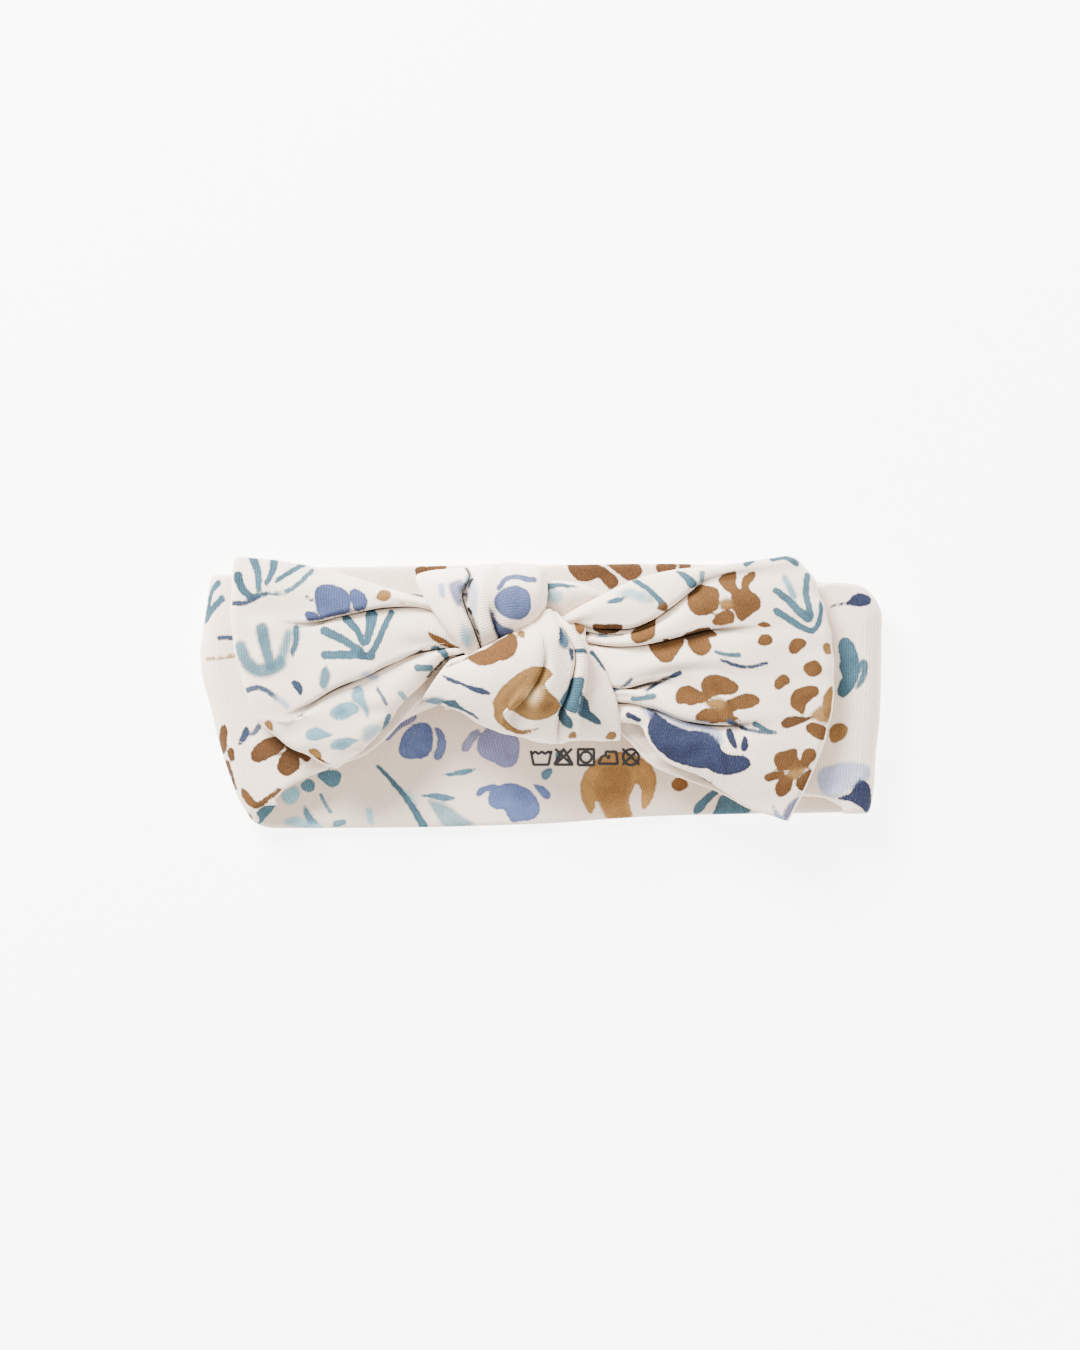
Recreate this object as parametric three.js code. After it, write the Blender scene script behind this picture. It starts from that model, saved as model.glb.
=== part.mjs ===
// Knotted bow headband of printed stretch jersey, lying flat with its head loop pressed into two halves.
// Millimetres, +Z up. The origin is the centre of the underside of the overall box. +X runs along the band, +Y across it.
//
// The real thing is two sewn tubes of cloth: the band, a closed loop, and the bow strip, tied round the band's front.
// Each tube is modelled ply by ply, and is divided where the cloth bends, so that every stretch of cloth can move.
import * as THREE from "three";

// ---- driving dimensions -------------------------------------------------------------------------------------------
const LENGTH = 180; // band laid flat, fold to fold
const HALF = LENGTH / 2;
const PLY = 1.25; // one layer of jersey with the air it holds
const PLY_GAP = 0.3; // between the two plies of a tube
const WALL = 2 * PLY + PLY_GAP; // a whole sewn tube pressed flat
const FOLD_R = 5.6; // outside radius of the loop's end folds
const REST_GAP = 0.4; // between pieces that only touch
const FRONT_Z = 2 * FOLD_R - WALL; // underside of the band's front half

// Outline of the flat band, as (x, y) stations across its width, from its upper edge to its lower edge.
const LEFT_FOLD = [[-87.6, 31], [-89.6, 20], [-HALF, 9], [-89, -3], [-85.6, -15], [-81.5, -27.5], [-77.8, -36]];
const RIGHT_FOLD = [[85.6, 27], [89, 22.5], [HALF, 11], [HALF, -8], [89, -23], [87.6, -30.5], [85.4, -32.6]];
const UPPER_EDGE = [[-80, 31.8], [-45, 33.2], [0, 33.4], [50, 33], [76, 30.2]];
const LOWER_EDGE = [[-68, -36], [-35, -36.1], [6, -35.2], [45, -34.2], [76, -33.2]];

// The bow loops turn about these lines, along the two sides of the knot.

// ---- colours --------------------------------------------------------------------------------------------------------
const CREAM = 0xefe6e0;
const CREAM_SHADE = 0xe2d5cb;
const THREAD = 0xf4efe9;
const INK = 0x111114;

const headband = new THREE.Group();

function cloth(colour) {
  return new THREE.MeshStandardMaterial({ color: colour, roughness: 0.9, metalness: 0 });
}

function add(name, geometry, colour = CREAM) {
  const mesh = new THREE.Mesh(geometry, cloth(colour));
  mesh.name = name;
  headband.add(mesh);
  return mesh;
}

// ---- shape helpers --------------------------------------------------------------------------------------------------
const RING = 20; // points round a lofted cross-section

// A blunt oval, flatter than an ellipse: [along, up], each from -1 to 1.
function ovalPoint(k) {
  const a = (2 * Math.PI * k) / RING;
  const blunt = (v, power) => Math.sign(v) * Math.abs(v) ** power;
  return [blunt(Math.cos(a), 0.6), blunt(Math.sin(a), 0.8)];
}

// Joins rings of equal length into one closed solid with flat ends.
function loft(rings) {
  const positions = [];
  const index = [];
  const count = rings[0].length;
  rings.forEach((ring) => ring.forEach((p) => positions.push(...p)));
  for (let i = 0; i + 1 < rings.length; i++) {
    for (let k = 0; k < count; k++) {
      const a = i * count + k;
      const b = i * count + ((k + 1) % count);
      index.push(a, b, b + count, a, b + count, a + count);
    }
  }
  const cap = (ring, base, turn) => {
    const centre = ring.reduce((s, p) => s.map((v, j) => v + p[j] / count), [0, 0, 0]);
    const hub = positions.length / 3;
    positions.push(...centre);
    for (let k = 0; k < count; k++) {
      const a = base + k;
      const b = base + ((k + 1) % count);
      index.push(...(turn ? [hub, b, a] : [hub, a, b]));
    }
  };
  cap(rings[0], 0, true);
  cap(rings[rings.length - 1], (rings.length - 1) * count, false);
  return outward(positions, index);
}

// A geometry whose faces point out, whichever way its rings ran.
function outward(positions, index) {
  let volume = 0;
  const at = (i) => new THREE.Vector3(...positions.slice(3 * i, 3 * i + 3));
  for (let i = 0; i < index.length; i += 3) {
    volume += at(index[i]).dot(at(index[i + 1]).cross(at(index[i + 2])));
  }
  const faces = volume < 0 ? index.map((_, i) => index[i - (i % 3) + [0, 2, 1][i % 3]]) : index;
  const geometry = new THREE.BufferGeometry();
  geometry.setAttribute("position", new THREE.Float32BufferAttribute(positions, 3));
  geometry.setIndex(faces);
  geometry.computeVertexNormals();
  return geometry;
}

// A soft slab of cloth. Each station runs from edge a to edge b, with thickness t and a crown in its middle.
function slab(stations) {
  return loft(
    stations.map(({ a, b, t, crown = 0 }) =>
      Array.from({ length: RING }, (_, k) => {
        const [along, up] = ovalPoint(k);
        const middle = a.map((v, j) => (v + b[j]) / 2 + ((b[j] - v) / 2) * along);
        return [middle[0], middle[1], middle[2] + (t / 2) * up + crown * (1 - along * along)];
      })
    )
  );
}

// A strip of cloth that turns over as it goes: centre c, half width w and half thickness n, as vectors.
function ribbon(stations) {
  return loft(
    stations.map(({ c, w, n }) =>
      Array.from({ length: RING }, (_, k) => {
        const [along, up] = ovalPoint(k);
        return c.map((v, j) => v + w[j] * along + n[j] * up);
      })
    )
  );
}

const spline = (points) => new THREE.SplineCurve(points.map(([x, y]) => new THREE.Vector2(x, y)));

// A ribbon given by its two side edges, a and b, at each station.
function band3(stations) {
  return ribbon(
    stations.map(({ a, b, n }) => ({ c: a.map((v, j) => (v + b[j]) / 2), w: a.map((v, j) => (b[j] - v) / 2), n }))
  );
}

// The x of a fold at height y across the band.
function foldAt(fold, y) {
  const points = spline(fold).getPoints(60);
  const below = points.findIndex((p) => p.y <= y);
  const after = below < 0 ? points.length - 1 : Math.max(1, below);
  const [p, q] = [points[after - 1], points[after]];
  return p.x + ((p.y - y) / Math.max(p.y - q.y, 1e-6)) * (q.x - p.x);
}

const inwards = (fold) => (fold === LEFT_FOLD ? 1 : -1);
const shifted = (fold, by) => fold.map(([x, y]) => [x + inwards(fold) * by, y]);

// The height across the band of an edge line at x.
function edgeAt(edge, x) {
  const points = spline(edge).getPoints(60);
  const after = points.findIndex((p) => p.x >= x);
  return (after < 0 ? points.at(-1) : points[after]).y;
}

// One flat ply of the band's rear half, between the two end folds.
function rearPly(z) {
  const inset = FOLD_R + REST_GAP;
  const rings = [];
  const [columns, rows] = [16, 10];
  for (let i = 0; i <= columns; i++) {
    const u = i / columns;
    const middle = -78 + u * 156;
    const [upper, lower] = [edgeAt(UPPER_EDGE, middle), edgeAt(LOWER_EDGE, middle)];
    const line = [];
    for (let j = 0; j <= rows; j++) {
      const y = upper + (j / rows) * (lower - upper);
      line.push([(1 - u) * (foldAt(LEFT_FOLD, y) + inset) + u * (foldAt(RIGHT_FOLD, y) - inset), y]);
    }
    rings.push([...line.map((p) => [...p, z + PLY]), ...line.reverse().map((p) => [...p, z])]);
  }
  return loft(rings);
}

// The bend at one end of the loop: a C-shaped wall, open towards the middle of the band.
function endFold(fold) {
  const [top, bottom] = [fold[0][1], fold.at(-1)[1]];
  const side = inwards(fold);
  const shape = new THREE.Shape();
  shape.moveTo(0, -FOLD_R);
  shape.absarc(0, 0, FOLD_R, -Math.PI / 2, Math.PI / 2, false);
  shape.lineTo(0, FOLD_R - WALL);
  shape.absarc(0, 0, FOLD_R - WALL, Math.PI / 2, -Math.PI / 2, true);
  const geometry = new THREE.ExtrudeGeometry(shape, {
    depth: top - bottom,
    steps: 10,
    bevelEnabled: false,
    curveSegments: 8,
  });
  const at = geometry.attributes.position;
  for (let i = 0; i < at.count; i++) {
    const y = bottom + at.getZ(i);
    at.setXYZ(i, foldAt(fold, y) + side * (FOLD_R - at.getX(i)), y, at.getY(i) + FOLD_R);
  }
  // The shape faces +X as drawn, so the right fold keeps its winding and the left fold is a mirror image of it.
  const index = Array.from({ length: at.count }, (_, i) => i);
  return outward(Array.from(at.array), index);
}

// A thread that zigzags between two lines, as one thin square strip.
function zigzag(from, to, width, stitches, thick) {
  const rings = [];
  const [start, end] = [new THREE.Vector3(...from), new THREE.Vector3(...to)];
  const run = end.clone().sub(start).normalize();
  const across = new THREE.Vector3(-run.y, run.x, 0).multiplyScalar(width / 2);
  for (let i = 0; i <= stitches; i++) {
    const p = start.clone().lerp(end, i / stitches).addScaledVector(across, i % 2 ? 1 : -1);
    const corners = [[-1, -1], [1, -1], [1, 1], [-1, 1]];
    rings.push(corners.map(([u, v]) => [p.x - run.y * u * thick, p.y + run.x * u * thick, p.z + (v * thick) / 2]));
  }
  return loft(rings);
}

// ---- rear half of the band ------------------------------------------------------------------------------------------
add("rear_band_outer_ply", rearPly(0));
add("rear_band_inner_ply", rearPly(PLY + PLY_GAP));
add("left_end_fold", endFold(LEFT_FOLD));
add("right_end_fold", endFold(RIGHT_FOLD));

// The transferred care label on the inner face, a film that lies flat under the knot's lower edge.
const LABEL = { x: 12.4, y: -17.4, width: 29, height: 9.4, film: 0.2 };
add(
  "care_label_film",
  new THREE.BoxGeometry(LABEL.width, LABEL.height, LABEL.film)
    .translate(LABEL.x, LABEL.y, WALL + LABEL.film / 2 + 0.05),
  INK
);

// ---- front half of the band, gathered towards the knot --------------------------------------------------------------
// Stations from the end fold to the knot: [x, y] of the upper edge, [x, y] of the lower edge, and growth in thickness.
const FRONT_LEFT = [
  { a: [-82, 29.5], b: [-72.4, -33], grow: 0 },
  { a: [-70, 28.5], b: [-64, -23], grow: 0 },
  { a: [-55, 25], b: [-52, -17], grow: 0.1 },
  { a: [-40, 20], b: [-38, -9.5], grow: 0.5 },
  { a: [-25.6, 15.5], b: [-25.6, -3], grow: 0.9 },
];
const FRONT_RIGHT = [
  { a: [81.5, 21.5], b: [80.5, -28], grow: 0 },
  { a: [66, 21], b: [66, -26], grow: 0 },
  { a: [52, 19.5], b: [52, -21.5], grow: 0.1 },
  { a: [36, 17], b: [36, -14], grow: 0.5 },
  { a: [23.6, 14], b: [23.6, -6.5], grow: 0.9 },
];

function frontPly(stations, level) {
  return slab(
    stations.map(({ a, b, grow }) => {
      const t = PLY + grow;
      const z = FRONT_Z + t / 2 + level * (t + PLY_GAP);
      return { a: [...a, z], b: [...b, z], t };
    })
  );
}
add("front_band_left_inner_ply", frontPly(FRONT_LEFT, 0));
add("front_band_left_outer_ply", frontPly(FRONT_LEFT, 1));
add("front_band_right_inner_ply", frontPly(FRONT_RIGHT, 0));
add("front_band_right_outer_ply", frontPly(FRONT_RIGHT, 1));

// ---- knot -----------------------------------------------------------------------------------------------------------
// The back of the wrap, the band's gathered front and the bow strip's bunched middle lie on each other inside the knot.
const BACK_WRAP_TOP = FRONT_Z + 1.6;
const GATHER = { low: BACK_WRAP_TOP + REST_GAP + 1.2, high: 15.6 };
const BOW_CENTRE = { low: GATHER.high + REST_GAP, high: 21.4 };

function bunch(x0, x1, y0, y1, low, high) {
  const [mid, t] = [(low + high) / 2, high - low];
  return slab([
    { a: [x0, y1, mid], b: [x0, y0, mid], t: t * 0.9 },
    { a: [(x0 + x1) / 2, y1 + 1, mid], b: [(x0 + x1) / 2, y0 - 1, mid], t },
    { a: [x1, y1, mid], b: [x1, y0, mid], t: t * 0.9 },
  ]);
}
add("band_gather", bunch(-24, 19.6, -4, 15, GATHER.low, GATHER.high), CREAM_SHADE);
add("bow_centre", bunch(-17, 10, 0, 18.6, BOW_CENTRE.low, BOW_CENTRE.high), CREAM_SHADE);

// Where the band's two ends are sewn together, turned in under the gather and held with an overlocked thread.
const JOIN = { x: -2, y0: -2.5, y1: 13.5, width: 7, t: 0.8 };
add(
  "band_join_allowance",
  new THREE.BoxGeometry(JOIN.width, JOIN.y1 - JOIN.y0, JOIN.t)
    .translate(JOIN.x, (JOIN.y0 + JOIN.y1) / 2, GATHER.low - 0.1 - JOIN.t / 2)
);
add(
  "band_join_thread",
  zigzag([JOIN.x + 6, JOIN.y0, GATHER.low - 0.6], [JOIN.x + 6, JOIN.y1, GATHER.low - 0.6], 2.4, 14, 0.4),
  THREAD
);

// The wrap's back lies under the band; its two ends come up over the band's edges and cross on top.
add(
  "knot_back_wrap",
  slab([
    { a: [-15, 27, FRONT_Z + 0.8], b: [-15, 25, FRONT_Z + 0.8], t: 1.2 },
    { a: [-13, 27.5, FRONT_Z + 0.8], b: [-18, -6, FRONT_Z + 0.8], t: 1.5 },
    { a: [6, 26.5, FRONT_Z + 0.8], b: [12, -7, FRONT_Z + 0.8], t: 1.5 },
    { a: [12, 8, FRONT_Z + 0.8], b: [14, -4, FRONT_Z + 0.8], t: 1.2 },
  ]),
  CREAM_SHADE
);
add(
  "tack_thread",
  zigzag([-14, 18.5, BACK_WRAP_TOP + 0.6], [6, 18.5, BACK_WRAP_TOP + 0.6], 2, 12, 0.5),
  THREAD
);
add(
  "knot_upper_wrap",
  band3([
    { a: [-25.5, 31.4, 9.6], b: [-1.5, 31.4, 9.6], n: [0, 1.2, 0.2] },
    { a: [-27.3, 32.6, 16], b: [-0.3, 32.6, 16], n: [0, 1.7, 0.6] },
    { a: [-29, 30, 23.6], b: [0.2, 29.4, 23.6], n: [0, 1.4, 1.8] },
    { a: [-26.8, 21.4, 27.2], b: [-0.8, 26.6, 27.2], n: [0, 0.4, 2.4] },
    { a: [-21.4, 13.4, 26], b: [-0.6, 24.6, 26], n: [0, 0, 2.2] },
  ])
);
add(
  "knot_lower_wrap",
  band3([
    { a: [-17.4, 8.4, 25.6], b: [3.2, 19.4, 25.6], n: [0, 0, 2] },
    { a: [-22.4, 6.8, 27.4], b: [8.4, 15.6, 27.4], n: [0, 0, 2.8] },
    { a: [-25, 3, 27.4], b: [14, 9, 27.4], n: [0, -0.4, 3] },
    { a: [-27.6, -1.2, 26], b: [18, 0, 26], n: [0, -0.8, 2.8] },
    { a: [-22, -6, 22], b: [19.8, -7, 22], n: [0, -1.4, 2.2] },
    { a: [-16, -8.6, 16.4], b: [20.4, -11, 16.4], n: [0, -1.9, 0.8] },
    { a: [-12, -8.6, 10.8], b: [17, -10.4, 10.8], n: [0, -1.2, 0.2] },
  ])
);

// ---- bow loops ------------------------------------------------------------------------------------------------------
// Stations of each loop from the knot to its outer fold: upper edge a and lower edge b, with the z of both plies there.
const LEFT_LOOP = [
  { a: [-33.6, 24], b: [-21.8, 8.6], back: 16.7, front: 21.8, t: 3 },
  { a: [-45, 28.4], b: [-30, 0], back: 14.6, front: 20.6, t: 3 },
  { a: [-58, 31.6], b: [-41, -9.6], back: 13.4, front: 19.2, t: 2.6 },
  { a: [-70, 33.6], b: [-50, -15.6], back: 12.9, front: 17.8, t: 2.2 },
  { a: [-78, 34.2], b: [-56, -18.2], back: 12.7, front: 16.8, t: 1.8 },
];
const RIGHT_LOOP = [
  { a: [11.6, 22.6], b: [26.6, -11], back: 16.7, front: 21.8, t: 3 },
  { a: [24, 27.2], b: [34, -17], back: 14.6, front: 20.6, t: 3 },
  { a: [40, 29.6], b: [45, -23.6], back: 13.4, front: 19.2, t: 2.6 },
  { a: [55, 32.2], b: [55, -29.4], back: 12.9, front: 17.8, t: 2.2 },
  { a: [65.4, 33.6], b: [63, -32], back: 12.7, front: 16.8, t: 1.8 },
  { a: [72, 28.6], b: [68, -28], back: 12.7, front: 16.4, t: 1.6 },
];

function loopPly(stations, which) {
  const thickness = which === "back" ? 1.4 : 0;
  return slab(
    stations.map(({ a, b, t, ...level }) => ({
      a: [...a, level[which]],
      b: [...b, level[which]],
      t: thickness || t,
      crown: which === "front" ? t / 3 : 0,
    }))
  );
}

// The loop's outer bend: an upright wall of cloth that follows the outline from the upper corner to the lower one.
function loopFold(path, low, high) {
  const curve = new THREE.CatmullRomCurve3(path.map(([x, y]) => new THREE.Vector3(x, y, (low + high) / 2)));
  const steps = 14;
  return ribbon(
    Array.from({ length: steps + 1 }, (_, i) => {
      const p = curve.getPointAt(i / steps);
      const t = curve.getTangentAt(i / steps);
      return { c: [p.x, p.y, p.z], w: [-t.y * 0.9, t.x * 0.9, 0], n: [0, 0, (high - low) / 2] };
    })
  );
}
const LEFT_LOOP_EDGE = [[-80.6, 35], [-81.2, 26], [-80.6, 14], [-78.6, 2], [-75.4, -4.6], [-68, -12.4], [-58, -19]];
const RIGHT_LOOP_EDGE = [[69.2, 35.4], [73.4, 30], [76.6, 20], [78, 8], [78, -4], [75.6, -14], [71, -26], [67, -33.4]];
const LOOP_LOW = 11.9;
const LOOP_HIGH = 18;

add("left_loop_front_ply", loopPly(LEFT_LOOP, "front"));
add("left_loop_back_ply", loopPly(LEFT_LOOP, "back"));
add("left_loop_fold", loopFold(LEFT_LOOP_EDGE, LOOP_LOW, LOOP_HIGH));
add("right_loop_front_ply", loopPly(RIGHT_LOOP, "front"));
add("right_loop_back_ply", loopPly(RIGHT_LOOP, "back"));
add("right_loop_fold", loopFold(RIGHT_LOOP_EDGE, LOOP_LOW, LOOP_HIGH));

export default headband;
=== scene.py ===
"""Looks of the knotted bow headband: printed stretch jersey, laid flat, with a bow knotted over its front.

Lengths below are millimetres in the object's own frame unless a name says otherwise. Every stretch of cloth
is a thin flat tube of two plies. It is woven from lines that follow its folds, so a crease is two
lines close together: the lip of the upper roll, and the valley that is tucked in under it.
"""
import math

import bmesh
import bpy
import numpy as np
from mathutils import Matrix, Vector


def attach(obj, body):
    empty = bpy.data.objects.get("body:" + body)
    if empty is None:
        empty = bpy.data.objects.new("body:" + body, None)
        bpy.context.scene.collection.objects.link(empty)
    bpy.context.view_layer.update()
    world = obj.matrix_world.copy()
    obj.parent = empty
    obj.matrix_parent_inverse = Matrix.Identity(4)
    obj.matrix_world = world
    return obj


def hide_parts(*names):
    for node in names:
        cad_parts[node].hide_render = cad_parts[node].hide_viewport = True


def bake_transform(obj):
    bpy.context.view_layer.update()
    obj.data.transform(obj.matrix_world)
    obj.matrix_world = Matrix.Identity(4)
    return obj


MM = 0.001
PITCH = 0.55  # distance between neighbouring rows of the bow's cloth
BAND_PITCH = 0.66
PLY_PAIR = 0.62  # half the thickness of a tube pressed flat
BAND_HALF = 1.0  # the same for the band, which is two such tubes' worth of cloth
LOBE_HALF = 0.65
NO_INK = 9.0  # a distance that is beyond every mark
NEARBY_SQUARED = 0.64  # points of the cloth this near a place count as under it
CLOTH_UV = 0.1  # the cloth's own map, in units per millimetre

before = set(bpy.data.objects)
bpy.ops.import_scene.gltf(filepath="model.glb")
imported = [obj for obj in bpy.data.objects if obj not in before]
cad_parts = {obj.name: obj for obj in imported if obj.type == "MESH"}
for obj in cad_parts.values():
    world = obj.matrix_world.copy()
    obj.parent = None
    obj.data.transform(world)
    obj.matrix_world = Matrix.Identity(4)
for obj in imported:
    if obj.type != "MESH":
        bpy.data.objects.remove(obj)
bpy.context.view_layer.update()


# ---- colours ----
def srgb(text):
    """Linear colour of a hex code."""
    values = [int(text[i : i + 2], 16) / 255 for i in (0, 2, 4)]
    return tuple(v / 12.92 if v <= 0.04045 else ((v + 0.055) / 1.055) ** 2.4 for v in values)


SHADED_INK = 1.65  # the rear half's ink is painted paler, as painted light against the shade the bow casts over it
LIT_INK = 0.88  # and the ink of the raised, well-lit cloth is painted deeper, as painted shade against its stronger light
STROKE_SENSE = (1.0, 1.0, 0.35)  # a brush mark hardly notices how high or low the cloth lies under it
THINNEST = 0.5  # half the width of the thinnest brush stroke
MOTIF_SPACING = 12.5  # between the random motifs of a stretch that is out of sight
FIFTH_OF_TURN = 1.257
CREAM = (0.92, 0.76, 0.625)
INKS = {
    "cream": CREAM,
    "ochre": (0.108, 0.049, 0.0165),
    "gold": (0.2, 0.105, 0.034),
    "bronze": (0.08, 0.037, 0.0145),
    # painted shade: bronze darkened for the rear half's top strip, which lies in shade
    "shaded_bronze": (0.042, 0.02, 0.0085),
    # painted shadow: near-black ink for the dark gaps where the cloth goes into the knot
    "gap": (0.006, 0.005, 0.005),
    "violet": (0.052, 0.071, 0.148),
    "lilac": (0.105, 0.11, 0.19),
    "indigo": (0.021, 0.0265, 0.056),
    "navy": (0.03, 0.045, 0.08),
    "teal": (0.046, 0.098, 0.13),
    "deep_teal": (0.034, 0.068, 0.092),
    "aqua": (0.15, 0.29, 0.345),
    "sky": (0.28, 0.34, 0.5),
}


# ---- curves and woven surfaces ----
def between(p0, p1, p2, p3, t):
    """Point t of the way from p1 to p2 on a centripetal Catmull-Rom curve."""
    def step(a, b):
        return np.maximum(np.linalg.norm(b - a, axis=-1, keepdims=True), 1e-4) ** 0.5

    t1 = step(p0, p1)
    t2 = t1 + step(p1, p2)
    t3 = t2 + step(p2, p3)
    at = t1 + (t2 - t1) * t
    a1 = (t1 - at) / t1 * p0 + at / t1 * p1
    a2 = (t2 - at) / (t2 - t1) * p1 + (at - t1) / (t2 - t1) * p2
    a3 = (t3 - at) / (t3 - t2) * p2 + (at - t2) / (t3 - t2) * p3
    b1 = (t2 - at) / t2 * a1 + at / t2 * a2
    b2 = (t3 - at) / (t3 - t1) * a2 + (at - t1) / (t3 - t1) * a3
    return (t2 - at) / (t2 - t1) * b1 + (at - t1) / (t2 - t1) * b2


def with_ends(p):
    """The points with one more at each end, so that the curve reaches the first and the last."""
    return np.concatenate([[2 * p[0] - p[1]], p, [2 * p[-1] - p[-2]]])


def evenly(p, count):
    """count + 1 points at even distances along a polyline."""
    p = np.asarray(p, float)
    run = np.concatenate([[0], np.cumsum(np.linalg.norm(np.diff(p, axis=0), axis=1))])
    at = np.linspace(0, run[-1], count + 1)
    return np.stack([np.interp(at, run, p[:, k]) for k in range(p.shape[1])], axis=1)


def subdivided(p, parts):
    """Points on the smooth curve through p[1] to p[-2], with so many steps from each one to the next."""
    return [between(*p[i - 1 : i + 3], k / parts) for i in range(1, len(p) - 2) for k in range(parts)]


def smooth_line(points, count):
    """count + 1 points at even distances along a smooth curve through the given points."""
    p = with_ends(np.asarray(points, float))
    return evenly(np.array([*subdivided(p, 16), p[-2]]), count)


def rounded(path):
    """A stroke's path, smoothed where it bends."""
    if len(path) < 3:
        return path
    p = with_ends(np.asarray(path, float))
    return [tuple(q) for q in [*subdivided(p, 3), p[-2]]]


def closed_curve(outline):
    """A smooth closed curve through the points, as a fine polygon."""
    p = np.asarray(outline, float)
    return np.array(subdivided(np.concatenate([p[-1:], p, p[:2]]), 4))


def signed_distance(points, ring):
    """Distance of each point from the edge of a polygon, negative inside it."""
    best = np.full(len(points), 1e9)
    inside = np.zeros(len(points), bool)
    for a, b in zip(ring, np.roll(ring, -1, axis=0)):
        span = b - a
        h = np.clip(((points - a) @ span) / max(span @ span, 1e-12), 0, 1)
        best = np.minimum(best, np.linalg.norm(points - a - h[:, None] * span, axis=1))
        crosses = (a[1] > points[:, 1]) != (b[1] > points[:, 1])
        rise = np.where(abs(span[1]) > 1e-12, span[1], 1e-12)
        inside ^= crosses & (points[:, 0] < a[0] + (points[:, 1] - a[1]) / rise * span[0])
    return np.where(inside, -best, best)


def weave(threads, pitch=PITCH):
    """Rows of points that pass smoothly through each thread in turn: an array of rows, columns, xyz."""
    p = with_ends(np.asarray(threads, float))
    rows = []
    for k in range(1, len(p) - 2):
        gap = np.linalg.norm(p[k + 1] - p[k], axis=1).mean()
        steps = max(2, round(gap / pitch))
        rows += [between(*p[k - 1 : k + 3], j / steps) for j in range(steps)]
    return tighten_edges(np.array(rows + [p[-2]]))


def tighten_edges(rows):
    """More rows beside the two long edges, where the tube's edge turns round."""
    shares = (0.0, 0.06, 0.2, 0.42, 0.7)
    first = [rows[0] + (rows[1] - rows[0]) * f for f in shares]
    last = [rows[-1] + (rows[-2] - rows[-1]) * f for f in reversed(shares)]
    return np.concatenate([first, rows[1:-1], last])


def fold_arc(line, back_z):
    """The outer fold: from just short of a front line's outer end, round and down to the back layer."""
    line = np.asarray(line, float)
    out = line[-1] - line[-2]
    out[2] = 0
    out /= np.linalg.norm(out)
    top = line[-1] - out * (LOOP_FOLD_R + PLY_PAIR)
    mid_z, half = (top[2] + back_z) / 2, (top[2] - back_z) / 2
    middle = np.array([top[0], top[1], mid_z])
    turn = np.linspace(math.pi / 2, -math.pi / 2, 9)
    return [middle + out * LOOP_FOLD_R * math.cos(a) + np.array([0, 0, half * math.sin(a)]) for a in turn]


def normals_of(grid):
    """The cloth's normal at each point of its middle surface."""
    along = np.gradient(grid, axis=1)
    across = np.gradient(grid, axis=0)
    n = np.cross(along, across)
    return n / np.maximum(np.linalg.norm(n, axis=2, keepdims=True), 1e-9)


def lengths(grid, axis):
    """Distance along the cloth from its first row or column, for every point."""
    step = np.linalg.norm(np.diff(grid, axis=axis), axis=2)
    pad = [(0, 0), (0, 0)]
    pad[axis] = (1, 0)
    return np.cumsum(np.pad(step, pad), axis=axis)


def ripples(s, t, seed, long_mm, short_mm, count=7):
    """Soft random waves, stretched along s: about 1 high."""
    dice = np.random.default_rng(seed)
    total = np.zeros_like(s)
    for _ in range(count):
        ks = dice.normal(0, 1) * 2 * math.pi / long_mm
        kt = dice.uniform(0.5, 1.3) * 2 * math.pi / short_mm
        total += np.sin(ks * s + kt * t + dice.uniform(0, 6.3)) * dice.uniform(0.4, 1)
    return total / count * 1.6


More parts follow.
